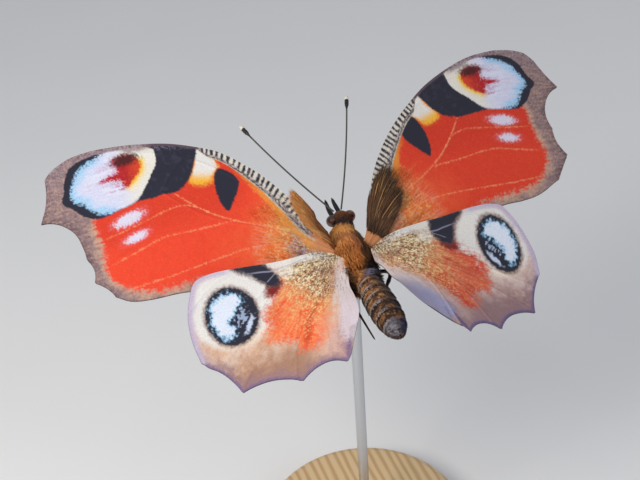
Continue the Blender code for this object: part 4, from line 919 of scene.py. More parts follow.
def body_tint(points, angle):
    """Colours of the skin and its coat at points on the body."""
    x, y = points[..., 0], points[..., 1]
    across = x - 0.126 * y
    patches = grain(x * 1.1 + 7, y, 1.0, 91)
    fine = grain(x * 1.3 + 0.8 * angle, y, 0.17, 93)
    top = rise(-0.4, 0.3, np.sin(angle))

    # Thorax: the hair's own brown, golden orange on the left as painted light, a foxy painted sheen in the
    # middle, and dark brown on the right as painted shade
    colours = plain(FUR_BROWN, x)
    colours = blend(colours, FUR_ORANGE, 0.8 * rise(0.3, 0.7, patches) * rise(0.9, -0.4, across))
    colours = blend(colours, "#b9704c", 0.5
                    * np.exp(-((across - 0.45) / 0.5) ** 2 - ((y - 0.6) / 1.5) ** 2))
    colours = blend(colours, "#3c2517", 0.9 * rise(0.3, 0.95, across + 0.5 * (patches - 0.5)))
    colours = blend(colours, FUR_DARK, 0.75 * (1 - top))
    colours = blend(colours, "#dc9a4e", 0.95 * rise(2.3, 2.9, y) * top * rise(0.2, 0.6, fine))

    # Head: dark plum where it meets the collar, painted shadow under the head, brown towards the face
    colours = blend(colours, "#271a20", rise(3.85, 4.15, y))
    colours = blend(colours, "#7c4c2c", 0.9 * rise(4.4, 4.8, y) * rise(0.2, 0.6, patches + 0.3 * top))
    colours = blend(colours, FUR_DARK, 0.5 * rise(5.4, 5.9, y))

    # Waist: dark, with an orange streak on the left and a blue-grey sheen on the right
    edge = -2.0 - 0.9 * np.exp(-((across + 0.1) / 0.5) ** 2) + 0.4 * rise(0.3, 1.2, across)
    waist = rise(edge, edge - 0.35, y)
    colours = blend(colours, FUR_BLACK, 0.8 * waist)
    streak = waist * np.exp(-((across + 0.35) / 0.3) ** 2)
    colours = blend(colours, FUR_ORANGE, 0.8 * streak * rise(0.3, 0.5, fine))
    sheen = waist * np.exp(-((across - 0.5) / 0.45) ** 2) * rise(-3.2, -3.7, y)
    colours = blend(colours, FUR_BLUE, 0.6 * sheen)

    # Abdomen: golden flecks on brown, with dark and pale lines at each ring; darker to the right and its
    # pale lines bluer there, painted shade on the side away from the light
    part = abdomen_part(y)
    ring = (part * RING_COUNT / RINGS_END) % 1.0
    coat = blend(plain("#5e3b24", x), "#3a261c", rise(0.3, 0.75, part))
    coat = blend(coat, FUR_GOLD, 0.75 * rise(0.5, 0.66, fine))
    coat = blend(coat, FUR_BLACK, 0.85 * rise(-0.2, 1.0, x) + 0.25 * rise(0.5, 0.3, patches))
    pale = rise(0.72, 0.78, ring) * rise(0.9, 0.86, ring)
    coat = blend(coat, FUR_GREY, 0.55 * pale * rise(0.0, -0.7, x))
    coat = blend(coat, "#6a6f8c", 0.45 * pale * rise(0.2, 0.9, x))
    coat = blend(coat, FUR_BLACK, 0.95 * np.maximum(rise(0.87, 0.92, ring), rise(0.08, 0.03, ring)))
    # The tip: pale grey on the left as painted light, dark blue on the right as painted shade
    tip = rise(0.84, 0.93, part)
    coat = blend(coat, "#9a9eac", 0.7 * tip * rise(0.5, -0.6, x) * rise(0.2, 0.6, fine))
    coat = blend(coat, "#34406a", 0.8 * tip * rise(-0.3, 0.5, x))
    coat = blend(coat, FUR_DARK, 0.7 * (1 - top))
    return blend(colours, coat, rise(0.13, 0.19, part))


def outward_faces(points, triangles):
    """Triangles turned so that the closed shell's volume is positive."""
    a, b, c = (points[triangles[:, corner]] for corner in range(3))
    volume = np.einsum("ij,ij->i", a, np.cross(b, c)).sum()
    return triangles if volume > 0 else triangles[:, ::-1]


def ring_shell(rings, centres):
    """A closed shell from rings of points, drawn to the first and the last centre at its ends."""
    count, sides = rings.shape[:2]
    points = np.vstack([rings.reshape(-1, 3), centres[:1], centres[-1:]])
    quads = grid_faces(count, sides, closed=True)
    near = np.arange(sides)
    following = (near + 1) % sides
    last = (count - 1) * sides
    caps = np.vstack([np.stack([following, near, np.full(sides, count * sides)], axis=1),
                      np.stack([last + near, last + following, np.full(sides, count * sides + 1)], axis=1)])
    triangles = np.vstack([quads[:, [0, 1, 2]], quads[:, [0, 2, 3]], caps])
    return points, outward_faces(points, triangles)


def swept(centres, across, upward, sides):
    """A closed shell: centre + cos(angle) * across + sin(angle) * upward, its ends drawn to points."""
    angles = np.arange(sides) * 2 * math.pi / sides
    rings = (centres[:, None] + np.cos(angles)[None, :, None] * across[:, None]
             + np.sin(angles)[None, :, None] * upward[:, None])
    return ring_shell(rings, centres)


def tube(path, radii, sides=12, reference=(0.0, 0.0, 1.0), flatten=1.0):
    """A round thread: a circle of the given radius carried along the path."""
    path = np.asarray(path, dtype=float)
    tangent = unit(np.gradient(path, axis=0))
    side = unit(np.cross(tangent, np.broadcast_to(reference, tangent.shape)))
    above = np.cross(side, tangent)
    radii = np.asarray(radii)[:, None]
    return swept(path, side * radii, above * radii * flatten, sides)


def ball(centre, radii, axes, rings=24, sides=36):
    """An ellipsoid on three axes, as circles of radius sin(t) at cos(t) along the first."""
    turn = np.linspace(0.04, math.pi - 0.04, rings)[:, None]
    centres = centre + np.cos(turn) * radii[0] * axes[0]
    return swept(centres, np.sin(turn) * radii[1] * axes[1], np.sin(turn) * radii[2] * axes[2], sides)


def tufts(roots, first, then, side, lengths, widths, colours, tip_colours, uv):
    """Closed tapered blades from roots: each bends from its first direction to the next.

    A blade's line is root + length * (t * first + t * t / 2 * (then - first)), with a
    three-cornered section at t = 0, 0.35 and 0.72 that ends in a point.
    """
    count = len(roots)
    steps = np.array([0.0, 0.35, 0.72, 1.0])
    taper = np.array([0.8, 1.0, 0.6])
    line = roots[:, None] + lengths[:, None, None] * (
        steps[None, :, None] * first[:, None] + (steps ** 2 / 2)[None, :, None] * (then - first)[:, None])
    above = unit(np.cross(side, first))
    half = widths[:, None, None] / 2 * taper[None, :, None]
    corner_a = line[:, :3] + half * side[:, None]
    corner_b = line[:, :3] - half * side[:, None]
    corner_c = line[:, :3] + half * 0.7 * above[:, None]
    rings = np.stack([corner_a, corner_b, corner_c], axis=2).reshape(count, 9, 3)
    points = np.concatenate([rings, line[:, 3:4]], axis=1)
    shape = [(0, 1, 2)]
    for ring in (0, 3):
        for corner in range(3):
            following = (corner + 1) % 3
            shape.append((ring + corner, ring + 3 + corner, ring + 3 + following))
            shape.append((ring + corner, ring + 3 + following, ring + following))
    for corner in range(3):
        shape.append((6 + corner, 9, 6 + (corner + 1) % 3))
    triangles = (np.array(shape)[None] + 10 * np.arange(count)[:, None, None]).reshape(-1, 3)
    part = np.repeat(steps, [3, 3, 3, 1])[None, :, None]
    shades = colours[:, None] * (1 - part) + tip_colours[:, None] * part
    spots = uv[:, None] + np.stack([part[0, :, 0] * 0.003, np.tile([0, 0.001, 0.002], 4)[:10]], axis=1)
    points = points.reshape(-1, 3)
    return points, outward_faces(points, triangles), shades.reshape(-1, 3), spots.reshape(-1, 2)


def body_uv(row, angle):
    """Place on the skin's unwrap: along the body, and round it."""
    along, around = np.broadcast_arrays(np.asarray(row) / (len(SECTIONS) - 1),
                                        (np.asarray(angle) / (2 * math.pi)) % 1.0)
    return np.stack([0.02 + 0.94 * along, 0.01 + 0.95 * around], axis=-1)


# Materials

def tinted_material(name, grain_size, depth, settings, spread=0.16):
    """Point colours varied by grains of a real size, which also roughen the surface."""
    material, tree, shader = new_material(name, settings)
    tint = add_node(tree, "ShaderNodeAttribute", {"attribute_name": "tint"})
    place = add_node(tree, "ShaderNodeTexCoord")
    grains = add_node(tree, "ShaderNodeTexNoise", {"Scale": 1.0 / (grain_size * MM), "Detail": 3.0},
                      {"Vector": place.outputs["Object"]})
    bounds = add_node(tree, "ShaderNodeMapRange", {"From Min": 0.25, "From Max": 0.75,
                      "To Min": 1.0 - spread, "To Max": 1.0 + spread}, {"Value": grains.outputs["Fac"]})
    shade = add_node(tree, "ShaderNodeVectorMath", {"operation": "SCALE"},
                     {"Vector": tint.outputs["Color"], "Scale": bounds.outputs["Result"]})
    bump = add_node(tree, "ShaderNodeBump", {"Strength": 0.6, "Distance": depth * MM},
                    {"Height": grains.outputs["Fac"]})
    tree.links.new(shade.outputs["Vector"], shader.inputs["Base Color"])
    tree.links.new(bump.outputs["Normal"], shader.inputs["Normal"])
    return material


# Wing scales: rows of dusty overlapping plates, so matt, with a soft sheen at a low angle
scales = tinted_material("powdery_wing_scales", 0.09, 0.012,
                         {"Roughness": 0.72, "Sheen Weight": 0.12, "Specular IOR Level": 0.3})
# Hair: fine, soft and matt, lit along its edges
hair = tinted_material("soft_body_hair", 0.12, 0.01,
                       {"Roughness": 0.62, "Sheen Weight": 0.06, "Specular IOR Level": 0.3})
# Chitin: smooth dark horn with a dull gleam
horn = tinted_material("dark_chitin", 0.15, 0.008, {"Roughness": 0.38, "Specular IOR Level": 0.5})


def eye_material():
    """Compound eye: brown-black and glossy, with a hexagon-like net of facets 0.03 mm across."""
    material, tree, shader = new_material("faceted_eye", {"Roughness": 0.25, "Coat Weight": 0.4,
                                                          "Coat Roughness": 0.08})
    place = add_node(tree, "ShaderNodeTexCoord")
    facets = add_node(tree, "ShaderNodeTexVoronoi", {"Scale": 1.0 / (0.032 * MM)},
                      {"Vector": place.outputs["Object"]})
    blotch = add_node(tree, "ShaderNodeTexNoise", {"Scale": 1.0 / (0.5 * MM), "Detail": 2.0},
                      {"Vector": place.outputs["Object"]})
    ramp = add_node(tree, "ShaderNodeValToRGB", {}, {"Fac": blotch.outputs["Fac"]})
    ramp.color_ramp.elements[0].color = (*linear("#38211a"), 1.0)
    ramp.color_ramp.elements[0].position = 0.35
    ramp.color_ramp.elements[1].color = (*linear("#855638"), 1.0)
    ramp.color_ramp.elements[1].position = 0.7
    bump = add_node(tree, "ShaderNodeBump", {"Strength": 0.35, "Distance": 0.006 * MM, "invert": True},
                    {"Height": facets.outputs["Distance"]})
    tree.links.new(ramp.outputs["Color"], shader.inputs["Base Color"])
    tree.links.new(bump.outputs["Normal"], shader.inputs["Normal"])
    return material


def wood_material():
    """Turned pale maple: fine growth bands across the base, and pores along them."""
    material, tree, shader = new_material("turned_maple", {"Roughness": 0.42, "Coat Weight": 0.15})
    place = add_node(tree, "ShaderNodeTexCoord")
    stretch = add_node(tree, "ShaderNodeMapping", {}, {"Vector": place.outputs["Object"]})
    stretch.inputs["Scale"].default_value = (1.0, 0.12, 1.0)
    bands = add_node(tree, "ShaderNodeTexWave", {"Scale": 1.0 / (3.2 * MM), "Distortion": 3.5,
                                                 "Detail": 3.0,
                     "Detail Scale": 1.4}, {"Vector": stretch.outputs["Vector"]})
    pores = add_node(tree, "ShaderNodeTexNoise", {"Scale": 1.0 / (0.35 * MM), "Detail": 4.0},
                     {"Vector": stretch.outputs["Vector"]})
    mixed = add_node(tree, "ShaderNodeMath", {"operation": "MULTIPLY_ADD"},
                     {0: pores.outputs["Fac"], 2: bands.outputs["Fac"]})
    mixed.inputs[1].default_value = 0.6
    ramp = add_node(tree, "ShaderNodeValToRGB", {}, {"Fac": mixed.outputs["Value"]})
    ramp.color_ramp.elements[0].color = (*linear("#c9a271"), 1.0)
    ramp.color_ramp.elements[0].position = 0.3
    ramp.color_ramp.elements[1].color = (*linear("#e3c596"), 1.0)
    ramp.color_ramp.elements[1].position = 1.0
    bump = add_node(tree, "ShaderNodeBump", {"Strength": 0.25, "Distance": 0.03 * MM},
                    {"Height": pores.outputs["Fac"]})
    tree.links.new(ramp.outputs["Color"], shader.inputs["Base Color"])
    tree.links.new(bump.outputs["Normal"], shader.inputs["Normal"])
    return material


def steel_material():
    """Ground steel rod: satin, with fine marks round it."""
    material, tree, shader = new_material("satin_steel", {"Metallic": 1.0})
    shader.inputs["Base Color"].default_value = (*linear("#c3c5c8"), 1.0)
    place = add_node(tree, "ShaderNodeTexCoord")
    flat = add_node(tree, "ShaderNodeMapping", {}, {"Vector": place.outputs["Object"]})
    flat.inputs["Scale"].default_value = (0.2, 0.2, 6.0)
    marks = add_node(tree, "ShaderNodeTexNoise", {"Scale": 1.0 / (0.4 * MM), "Detail": 3.0},
                     {"Vector": flat.outputs["Vector"]})
    gloss = add_node(tree, "ShaderNodeMapRange", {"To Min": 0.22, "To Max": 0.42},
                     {"Value": marks.outputs["Fac"]})
    tree.links.new(gloss.outputs["Result"], shader.inputs["Roughness"])
    return material


# Wings

for side, word in SIDES:
    for kind in ("fore", "hind"):
        make_wing(kind, word, scales)


# Body skin, one closed form under the coat

SKIN_RINGS = 420
SKIN_SIDES = 72
SKIN_SHADE = 0.9


def make_skin():
    """The body's surface in fine rings, in a slightly darker tone than its coat."""
    rows = np.linspace(0, len(SECTIONS) - 1, SKIN_RINGS)
    angles = np.arange(SKIN_SIDES) * 2 * math.pi / SKIN_SIDES
    row, angle = np.meshgrid(rows, angles, indexing="ij")
    rings, _, _ = body_place(row, angle)
    points, triangles = ring_shell(rings, rings.mean(axis=1))
    all_rows = np.concatenate([row.ravel(), rows[[0, -1]]])
    all_angles = np.concatenate([angle.ravel(), [0.0, 0.0]])
    skin = make_piece("body_skin", points, triangles, hair,
                      body_tint(points, all_angles) * SKIN_SHADE, body_uv(all_rows, all_angles))
    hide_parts("head", "thorax", "abdomen")


make_skin()


def body_coat(name, rows, count, length, width, lift, seed, spread=(0.0, 2 * math.pi), lie=1.0):
    """Hair on part of the body, lying hindwards; a row range has even cover along its length."""
    generator = np.random.default_rng(seed)
    row = generator.uniform(rows[0], rows[1], count)
    angle = generator.uniform(spread[0], spread[1], count)
    roots, normal, hindward = body_place(row, angle)
    roots = roots - normal * 0.05
    wander = generator.normal(0.0, 0.1, (count, 3))
    rising = lift * generator.uniform(0.6, 1.4, count)[:, None]
    first = unit(normal * (rising + 0.25) + hindward * lie + wander)
    then = unit(hindward * lie + normal * rising * 0.25 + wander * 0.6)
    side = unit(np.cross(hindward, normal) + wander * 0.5)
    side = unit(side - first * np.einsum("ij,ij->i", side, first)[:, None])
    y = roots[:, 1]
    lengths = np.interp(y, length[0], length[1]) * generator.uniform(0.65, 1.2, count)
    lengths *= 1.0 + 0.6 * rise(0.75, 1.0, np.sin(angle)) * rise(-0.5, -1.6, y) * rise(-3.0, -2.4, y)
    colours = body_tint(roots, angle)
    shade = generator.uniform(0.82, 1.18, count)[:, None]
    base, tips = colours * shade * 0.95, np.clip(colours * shade * 1.5, 0, 1)
    points, triangles, tints, uv = tufts(roots, first, then, side, lengths,
                                         width * generator.uniform(0.7, 1.3, count), base, tips,
                                         body_uv(row, angle))
    return make_piece(name, points, triangles, hair, tints, uv)


body_coat("face_hair", (2.0, HEAD_END), 4200, ([3.5, 4.3, 6.2], [0.7, 0.45, 0.3]), 0.06, 0.4, 101)
body_coat("thorax_hair", (HEAD_END - 6, THORAX_END - 14), 12000,
          ([-4.0, -2.6, -1.6, 0.0, 3.0, 4.5], [0.5, 0.8, 1.3, 1.9, 1.5, 0.8]), 0.085, 0.2, 103)
body_coat("waist_hair", (THORAX_END - 22, THORAX_END + 8), 3200, ([-5.5, -3.0], [0.7, 1.2]), 0.08, 0.2, 105)
body_coat("abdomen_hair", (THORAX_END, len(SECTIONS) - 3), 12000, ([-13.5, -5.0], [0.32, 0.42]),
          0.065, 0.12, 107)


# Hair over the wing bases

HAIR_ROOTS = {
    "left": np.array([(1.5, 2.3, 1.2), (1.5, 1.8, 1.3), (1.6, 1.2, 1.35), (1.6, 0.5, 1.35),
                      (1.5, -0.2, 1.2)]),
    "right": np.array([(2.2, 0.6, 1.6), (2.3, 0.5, 1.6), (2.4, 0.4, 1.55), (2.5, 0.3, 1.5), (2.7, 0.2, 1.4),
                       (2.9, 0.0, 1.3), (3.1, -0.2, 1.2), (3.4, -0.4, 1.05)]),
}
HAIR_TIPS = {
    "left": np.array([(4.4, 4.4, 5.35), (4.35, 3.9, 4.75), (4.3, 3.2, 4.1), (3.9, 2.4, 3.45),
                      (3.1, 1.5, 2.55)]),
    "right": np.array([(3.9, 3.65, 4.15), (4.8, 4.4, 4.9), (6.15, 5.15, 5.6), (6.35, 4.3, 5.0),
                       (7.0, 3.3, 4.25), (6.85, 2.4, 3.55), (5.85, 1.4, 2.65), (4.7, 0.55, 1.85)]),
}
# How each side's hair bows on its way: outwards, forwards and up
HAIR_BOW = {"left": (-0.1, 0.05, 0.1), "right": (-0.2, 0.05, 0.1)}
# Root, tip and bright-tip colours of one brown hair: the left fan's orange is painted light, the right
# fan's dark brown painted shade
HAIR_LIT_AND_SHADED = {"left": ("#9a5a28", "#d18f4c", "#e8b878"), "right": ("#442c1b", "#6a4526", "#dba560")}


def along_line(number, points):
    """Places between numbered points, where 1.5 is halfway from the second to the third."""
    return np.stack([np.interp(number, range(len(points)), points[:, axis]) for axis in range(3)], axis=1)


def wing_base_hair(side, word, count, seed):
    """A fan of long hair from the shoulder, out over the wing: a blend of the fan's edge lines."""
    generator = np.random.default_rng(seed)
    across = generator.uniform(0.0, 1.0, count) * (len(HAIR_ROOTS[word]) - 1)
    root = along_line(across, HAIR_ROOTS[word])
    clump = np.round(across * 5.0) / 5.0
    ends = clump + 0.3 * (across - clump)
    tip = along_line(ends, HAIR_TIPS[word])
    tip = root + (tip - root) * (0.9 + 0.16 * lattice(clump * 5.0, clump * 0.0, seed))[:, None]
    root += generator.normal(0.0, 0.1, (count, 3))
    part = generator.uniform(0.0, 0.5, count)[:, None]
    reach = tip - root
    start = root + reach * part
    ground = fore_surface(start[:, 0], start[:, 1], word)
    over_wing = start[:, 0] > 2.4
    start[:, 2] = np.where(over_wing, np.maximum(start[:, 2], ground + 0.25), start[:, 2])
    far = np.linalg.norm(reach, axis=1)
    bow = np.array(HAIR_BOW[word])
    start += bow * far[:, None] * (0.5 * part * (1 - part))
    first = unit(reach) + bow * (1 - part) + generator.normal(0.0, 0.04, (count, 3))
    then = unit(reach) - bow * (1 - part) + generator.normal(0.0, 0.04, (count, 3))
    across_line = unit(np.cross(first, (0.0, -0.5, 1.0)))
    lengths = far * (1.0 - part[:, 0]) * generator.uniform(0.65, 1.03, count)
    mirror = np.array([side, 1.0, 1.0])
    shade = generator.uniform(0.75, 1.25, count)[:, None]
    # Colours with the side's painted light (left) and painted shade (right)
    root_tint, tip_tint, bright = (linear(code) for code in HAIR_LIT_AND_SHADED[word])
    tip_tint = np.where(generator.uniform(0, 1, count)[:, None] < 0.12, bright, tip_tint)
    uv = body_uv(np.full(count, HEAD_END + 30.0) + across * 4, 0.6 if side > 0 else math.pi - 0.6)
    points, triangles, tints, spots = tufts(start * mirror, first * mirror, then * mirror,
                                            across_line * mirror, lengths,
                                            0.1 * generator.uniform(0.7, 1.3, count),
                                            root_tint * shade, np.clip(tip_tint * shade, 0, 1), uv)
    return make_piece("wing_base_hair_" + word, points, triangles, hair, tints, spots)


# The place that a wing's down points away from
DOWN_HOME = {"fore": (0.5, -1.5), "hind": (0.8, 0.5)}
# How far up from the hind end of its span a wing's down thins out
DOWN_FADE = {"fore": 0.0, "hind": 4.0}


def wing_down(name, kind, side, word, count, span, lengths, shine, seed):
    """Fine hair lying on a wing's upper face near its root, in the colours of the scales under it."""
    generator = np.random.default_rng(seed)
    x = generator.uniform(span[0], span[1], count)
    y = generator.uniform(span[2], span[3], count)
    front, teeth, inner = (lines[word] for lines in WING_LINES[kind])
    _, surface, pattern = WING_MAKE[kind]
    home = DOWN_HOME[kind]
    outline = np.vstack([smooth_curve(front, 6), scallops(teeth, 6), smooth_curve(inner, 6)[::-1]])
    ragged = DOWN_FADE[kind] * np.sqrt(generator.uniform(0.0, 1.0, count))
    keep = (patch(x, y, outline[::6], 2) < -0.25) & (y > span[2] + ragged)
    x, y = x[keep], y[keep]
    count = len(x)
    away = unit(unit(np.stack([x - home[0], y - home[1]], axis=1)) + generator.normal(0, 0.12, (count, 2)))
    length = generator.uniform(lengths[0], lengths[1], count)
    here = surface(x, y, word) + SHEET_HALF
    ahead = surface(x + away[:, 0] * length, y + away[:, 1] * length, word) + SHEET_HALF + 0.02
    roots = np.stack([x, y, here], axis=1)
    tips = np.stack([x + away[:, 0] * length, y + away[:, 1] * length, ahead], axis=1)
    roots, tips = to_side(roots, kind, word), to_side(tips, kind, word)
    along = unit(tips - roots)
    first = unit(along + np.array([0.0, 0.0, 0.03]))
    across_line = unit(np.cross(along, (0.0, 0.0, 1.0)))
    # Hairs are mostly a little brighter than the scales under them, painted light that offsets their own
    # shadow
    shade = generator.uniform(0.95, 1.25, count)[:, None]
    tint = pattern(x, y, word) * shade
    tips_tint = tint + (linear(shine) - tint) * (generator.uniform(0.0, 0.5, count)
                                                 * rise(3.6, 5.0, x))[:, None]
    uv = np.stack([0.05 + (x + 2) / 32, 0.05 + (y + 16) / 36], axis=1)
    points, triangles, tints, spots = tufts(roots, first, along, across_line,
                                            np.linalg.norm(tips - roots, axis=1),
                                            np.full(count, 0.045), np.clip(tint, 0, 1),
                                            np.clip(tips_tint, 0, 1), uv)
    return make_piece(name, points, triangles, hair, tints, spots)


for side, word in SIDES:
    wing_base_hair(side, word, 3600, 111 + int(side))
    wing_down("forewing_down_" + word, "fore", side, word, 1500, (2.0, 8.0, -2.0, 5.0), (0.4, 1.0),
              "#f2b060", 121 + int(side))
    wing_down("hindwing_down_" + word, "hind", side, word, 600, (1.3, 4.4, -6.6, -2.2), (0.3, 0.5),
              "#efe6dc", 131 + int(side))


# Eyes, palps, antennae, tongue and legs

EYE_RADIUS = 0.6014
EYE_OFFSET = {"left": (0.96, 0.1, 0.06), "right": (0.94, 0.1, 0.06)}
PALP_ROOT = (0.43, 0.6, -0.2)
PALP_MIDDLE = (0.46, 1.9, -0.35)
PALP_TIP = (0.36, 3.1, 0.6)
ANTENNA_ROOT = (0.42, 0.9, 0.58)
ANTENNA_REACH = {"left": np.array([-5.45, 13.3, 4.1]), "right": np.array([5.65, 13.0, 5.0])}
ANTENNA_BOW = 0.4
ANTENNA_RADIUS = 0.085
CLUB_RADIUS = 0.22
CLUB_LENGTH = 1.9
TONGUE_TURNS = 1.35
BLACK_HORN = linear("#17141a")
GREEN_HORN = linear("#3d3d38")
PALE_TIP = linear("#e8dfd0")
LEG_BROWN = linear("#2c1f1a")
LEG_PALE = linear("#8a6a50")

LEGS = {
    "foreleg": ([(0.75, 2.0, -1.7), (1.2, 3.2, -2.7), (0.8, 4.3, -2.0), (0.6, 3.9, -2.9)],
                [0.24, 0.2, 0.17, 0.1]),
    "midleg": ([(0.75, 0.4, -2.2), (2.5, 1.5, -3.5), (1.9, -0.9, -5.1), (1.5, -3.7, -5.7)],
               [0.26, 0.18, 0.13, 0.08]),
    "hindleg": ([(0.7, -1.2, -1.9), (3.0, -2.5, -1.4), (1.6, -4.8, -2.4), (1.2, -9.4, -3.1)],
                [0.26, 0.18, 0.12, 0.07]),
}


def quadratic(start, middle, end, steps):
    """Points on a simple curve from start to end, drawn towards middle."""
    steps = np.asarray(steps)[:, None]
    return (1 - steps) ** 2 * start + 2 * steps * (1 - steps) * middle + steps ** 2 * end


def make_tinted(name, shell, colours, replaced, material=horn):
    """A piece in one colour or with a colour for each point, in place of a node."""
    points, triangles = shell
    piece = make_piece(name, points, triangles, material, np.broadcast_to(colours, points.shape))
    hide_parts(replaced)


eye_finish = eye_material()
head_forward, head_right, head_up = body_axis(HEAD_YAW)
for side, word in SIDES:
    shell = ball(on_head(EYE_OFFSET[word], side), (EYE_RADIUS,) * 3,
                 (side * head_right, head_forward, head_up), 40, 56)
    make_tinted("eye_facets_" + word, shell, BLACK_HORN, "eye_" + word, eye_finish)

    steps = np.linspace(0, 1, 40)
    path = quadratic(on_head(PALP_ROOT, side), on_head(PALP_MIDDLE, side), on_head(PALP_TIP, side), steps)
    radii = np.interp(steps, [0, 0.3, 0.65, 0.9, 1], [0.22, 0.24, 0.23, 0.16, 0.03])
    make_tinted("palp_scales_" + word, tube(path, radii, 14), BLACK_HORN, "palp_" + word)

    root = on_head(ANTENNA_ROOT, side)
    tip = on_head((0.42, 1.0, 0.65), side) + ANTENNA_REACH[word]
    _, body_right, body_up = body_axis()
    middle = (root + tip) / 2 + ANTENNA_BOW * side * body_right - ANTENNA_BOW / 2 * body_up
    length = np.linalg.norm(tip - root)
    steps = np.linspace(0, 1, 320)
    path = quadratic(root, middle, tip, steps)
    left_over = (1 - steps) * length
    beads = 1.0 + 0.07 * np.sin(2 * math.pi * left_over / 0.32)
    club = rise(CLUB_LENGTH, CLUB_LENGTH * 0.6, left_over)
    radii = (ANTENNA_RADIUS + (CLUB_RADIUS - ANTENNA_RADIUS) * club) * beads
    radii *= np.sqrt(np.clip(left_over / 0.35, 0.004, 1.0))
    shell = tube(path, radii, 12)
    to_tip = np.linalg.norm(shell[0] - tip, axis=1)
    stripes = 0.5 + 0.5 * np.sin(2 * math.pi * to_tip / 0.32)
    colours = blend(plain(GREEN_HORN, to_tip), "#85837a", 0.35 * rise(0.6, 0.9, stripes))
    colours = blend(colours, BLACK_HORN, rise(2.3, 1.7, to_tip))
    colours = blend(colours, PALE_TIP, rise(0.72, 0.58, to_tip))
    make_tinted("antenna_beads_" + word, shell, colours, "antenna_" + word)

    for kind, (places, sizes) in LEGS.items():
        corners = np.array(places) * np.array([side, 1.0, 1.0])
        path = evenly(smooth_curve(corners, 12), 90)
        part = np.linspace(0, 1, 90)
        radii = np.interp(part, np.linspace(0, 1, 4), sizes)
        joints = np.exp(-((part - 0.36) / 0.02) ** 2) + np.exp(-((part - 0.68) / 0.02) ** 2)
        radii = radii * (1 + 0.25 * joints) * np.sqrt(np.clip((1 - part) / 0.03, 0.02, 1.0))
        shell = tube(path, radii, 10)
        pale = grain(shell[0][:, 0] * 3, shell[0][:, 1] * 3, 0.4, 141)
        colours = blend(plain(LEG_BROWN, pale), LEG_PALE, 0.4 * rise(0.5, 0.8, pale))
        make_tinted(kind + "_joints_" + word, shell, colours, kind + "_" + word)

forward, right, up = body_axis()
turns = np.linspace(0.0, 2.0 * math.pi * TONGUE_TURNS, 120)[:, None]
reach = 0.42 + 0.5 * turns / turns[-1]
centre = on_head((0.0, 0.95, -1.85), 1.0)
path = centre + reach * (np.sin(turns[::-1]) * forward + np.cos(turns[::-1]) * up)
make_tinted("tongue_coil", tube(path, 0.1 * (1 + 0.05 * np.sin(turns[:, 0] * 40)), 12, right),
            LEG_BROWN, "proboscis")


# Stand

BASE_RADIUS = 12.0
BASE_HEIGHT = 3.5
ROD_RADIUS = 0.55
ROD_STOPS_BELOW = 3.05    # the rod's end under the wing frame's origin
BASE_PROFILE = [(0.02, 0.0), (11.2, 0.0), (11.6, 0.06), (11.9, 0.3), (BASE_RADIUS, 0.7), (11.98, 1.2),
                (11.8, 1.6),
                (11.45, 1.85), (11.35, 2.0), (11.42, 2.15), (11.5, 2.4), (11.45, 2.8), (11.2, 3.15),
                (10.7, 3.4), (10.0, BASE_HEIGHT), (4.0, BASE_HEIGHT), (0.02, BASE_HEIGHT)]


def turned(profile, sides, centre=(0.0, 0.0)):
    """A profile of radius and height carried round an upright axis."""
    run = np.maximum(smooth_curve(profile, 5), 0.0)
    centres = np.column_stack([np.full(len(run), centre[0]), np.full(len(run), centre[1]),
                               run[:, 1] - WING_LEVEL])
    radius = np.maximum(run[:, :1], 0.005)
    return swept(centres, radius * np.array([1.0, 0.0, 0.0]), radius * np.array([0.0, 1.0, 0.0]), sides)


points, triangles = turned(BASE_PROFILE, 160)
base = make_piece("stand_base_turned", points, triangles, wood_material())
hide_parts("stand_base")
rod_top = WING_LEVEL - ROD_STOPS_BELOW
rod_profile = [(0.02, 3.3), (1.25, 3.35), (1.3, BASE_HEIGHT), (1.2, 3.95), (0.75, 4.1), (ROD_RADIUS, 4.3),
               (ROD_RADIUS, 12.0), (ROD_RADIUS, 24.0), (ROD_RADIUS, rod_top - 0.2), (0.4, rod_top - 0.02),
               (0.02, rod_top)]
points, triangles = turned(rod_profile, 40, THORAX_CENTRE[:2])
rod = make_piece("stand_rod_steel", points, triangles, steel_material())
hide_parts("stand_rod")


# Stage, light and camera: places and sizes in metres, power in watts

FLOOR_REACH = 1.5
CENTRE = (0.0, 0.0, 0.042)


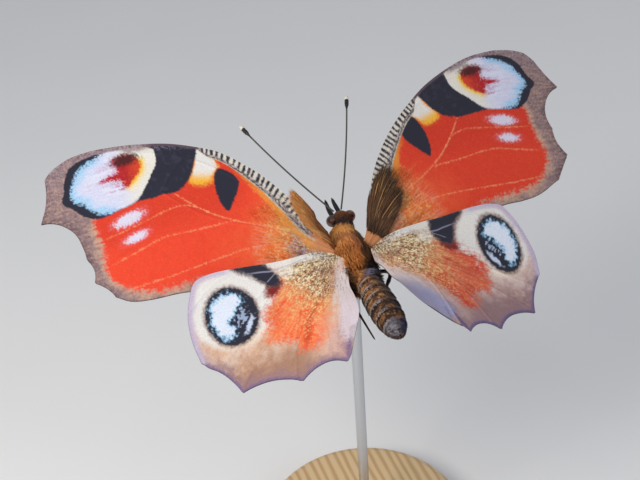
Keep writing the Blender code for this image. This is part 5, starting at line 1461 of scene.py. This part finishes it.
def make_floor():
    """A matt, faintly mottled floor for the shadow, which isn't part of the object."""
    material, tree, shader = new_material("studio_floor", {"Roughness": 0.9})
    place = add_node(tree, "ShaderNodeTexCoord")
    mottling = add_node(tree, "ShaderNodeTexNoise", {"Scale": 30.0, "Detail": 2.0},
                        {"Vector": place.outputs["Object"]})
    ramp = add_node(tree, "ShaderNodeValToRGB", {}, {"Fac": mottling.outputs["Fac"]})
    ramp.color_ramp.elements[0].color = (*linear("#f4f4f4"), 1.0)
    ramp.color_ramp.elements[1].color = (*linear("#fafafa"), 1.0)
    tree.links.new(ramp.outputs["Color"], shader.inputs["Base Color"])
    mesh = bpy.data.meshes.new("studio_floor")
    corners = [(-1, -1), (1, -1), (1, 1), (-1, 1)]
    mesh.from_pydata([(FLOOR_REACH * x, FLOOR_REACH * y, 0) for x, y in corners], [], [(0, 1, 2, 3)])
    mesh.materials.append(material)
    floor = bpy.data.objects.new("studio_floor", mesh)
    bpy.context.scene.collection.objects.link(floor)


def add_light(name, place, target, size, power, colour="#ffffff"):
    """A square soft light aimed at a target, places in metres."""
    data = bpy.data.lights.new(name, "AREA")
    data.size = size
    data.energy = power
    data.color = linear(colour)
    item = bpy.data.objects.new(name, data)
    back = unit(np.array(place) - np.array(target))
    across = unit(np.cross((0.0, 0.0, 1.0), back))
    above = np.cross(back, across)
    item.matrix_world = Matrix([[across[i], above[i], back[i], place[i]] for i in range(3)]
                               + [[0, 0, 0, 1]])
    bpy.context.scene.collection.objects.link(item)


make_floor()
add_light("window_light", (-0.1, -0.05, 0.125), CENTRE, 0.07, 0.146, "#fffaf3")
add_light("room_light", (0.25, -0.25, 0.3), CENTRE, 0.3, 0.25, "#e8ecff")
world = bpy.data.worlds.new("studio_air")
bpy.context.scene.world = world
world.use_nodes = True
world.node_tree.nodes["Background"].inputs["Color"].default_value = (0.92, 0.95, 1.0, 1.0)
world.node_tree.nodes["Background"].inputs["Strength"].default_value = 0.42

bpy.context.scene.view_settings.view_transform = "Standard"

camera_data = bpy.data.cameras.new("camera")
camera_data.lens = 67.5
camera_data.sensor_width = 36.0
camera_data.clip_start = 0.005
camera = bpy.data.objects.new("camera", camera_data)
CAMERA_RIGHT = (0.9428, -0.3279, -0.0595)
CAMERA_UP = (0.2336, 0.523, 0.8197)
CAMERA_BACK = (-0.2376, -0.7867, 0.5697)
CAMERA_PLACE = (-0.02975, -0.08889, 0.10684)
camera.matrix_world = Matrix([[CAMERA_RIGHT[i], CAMERA_UP[i], CAMERA_BACK[i], CAMERA_PLACE[i]]
                              for i in range(3)] + [[0, 0, 0, 1]])
bpy.context.scene.collection.objects.link(camera)
bpy.context.scene.camera = camera
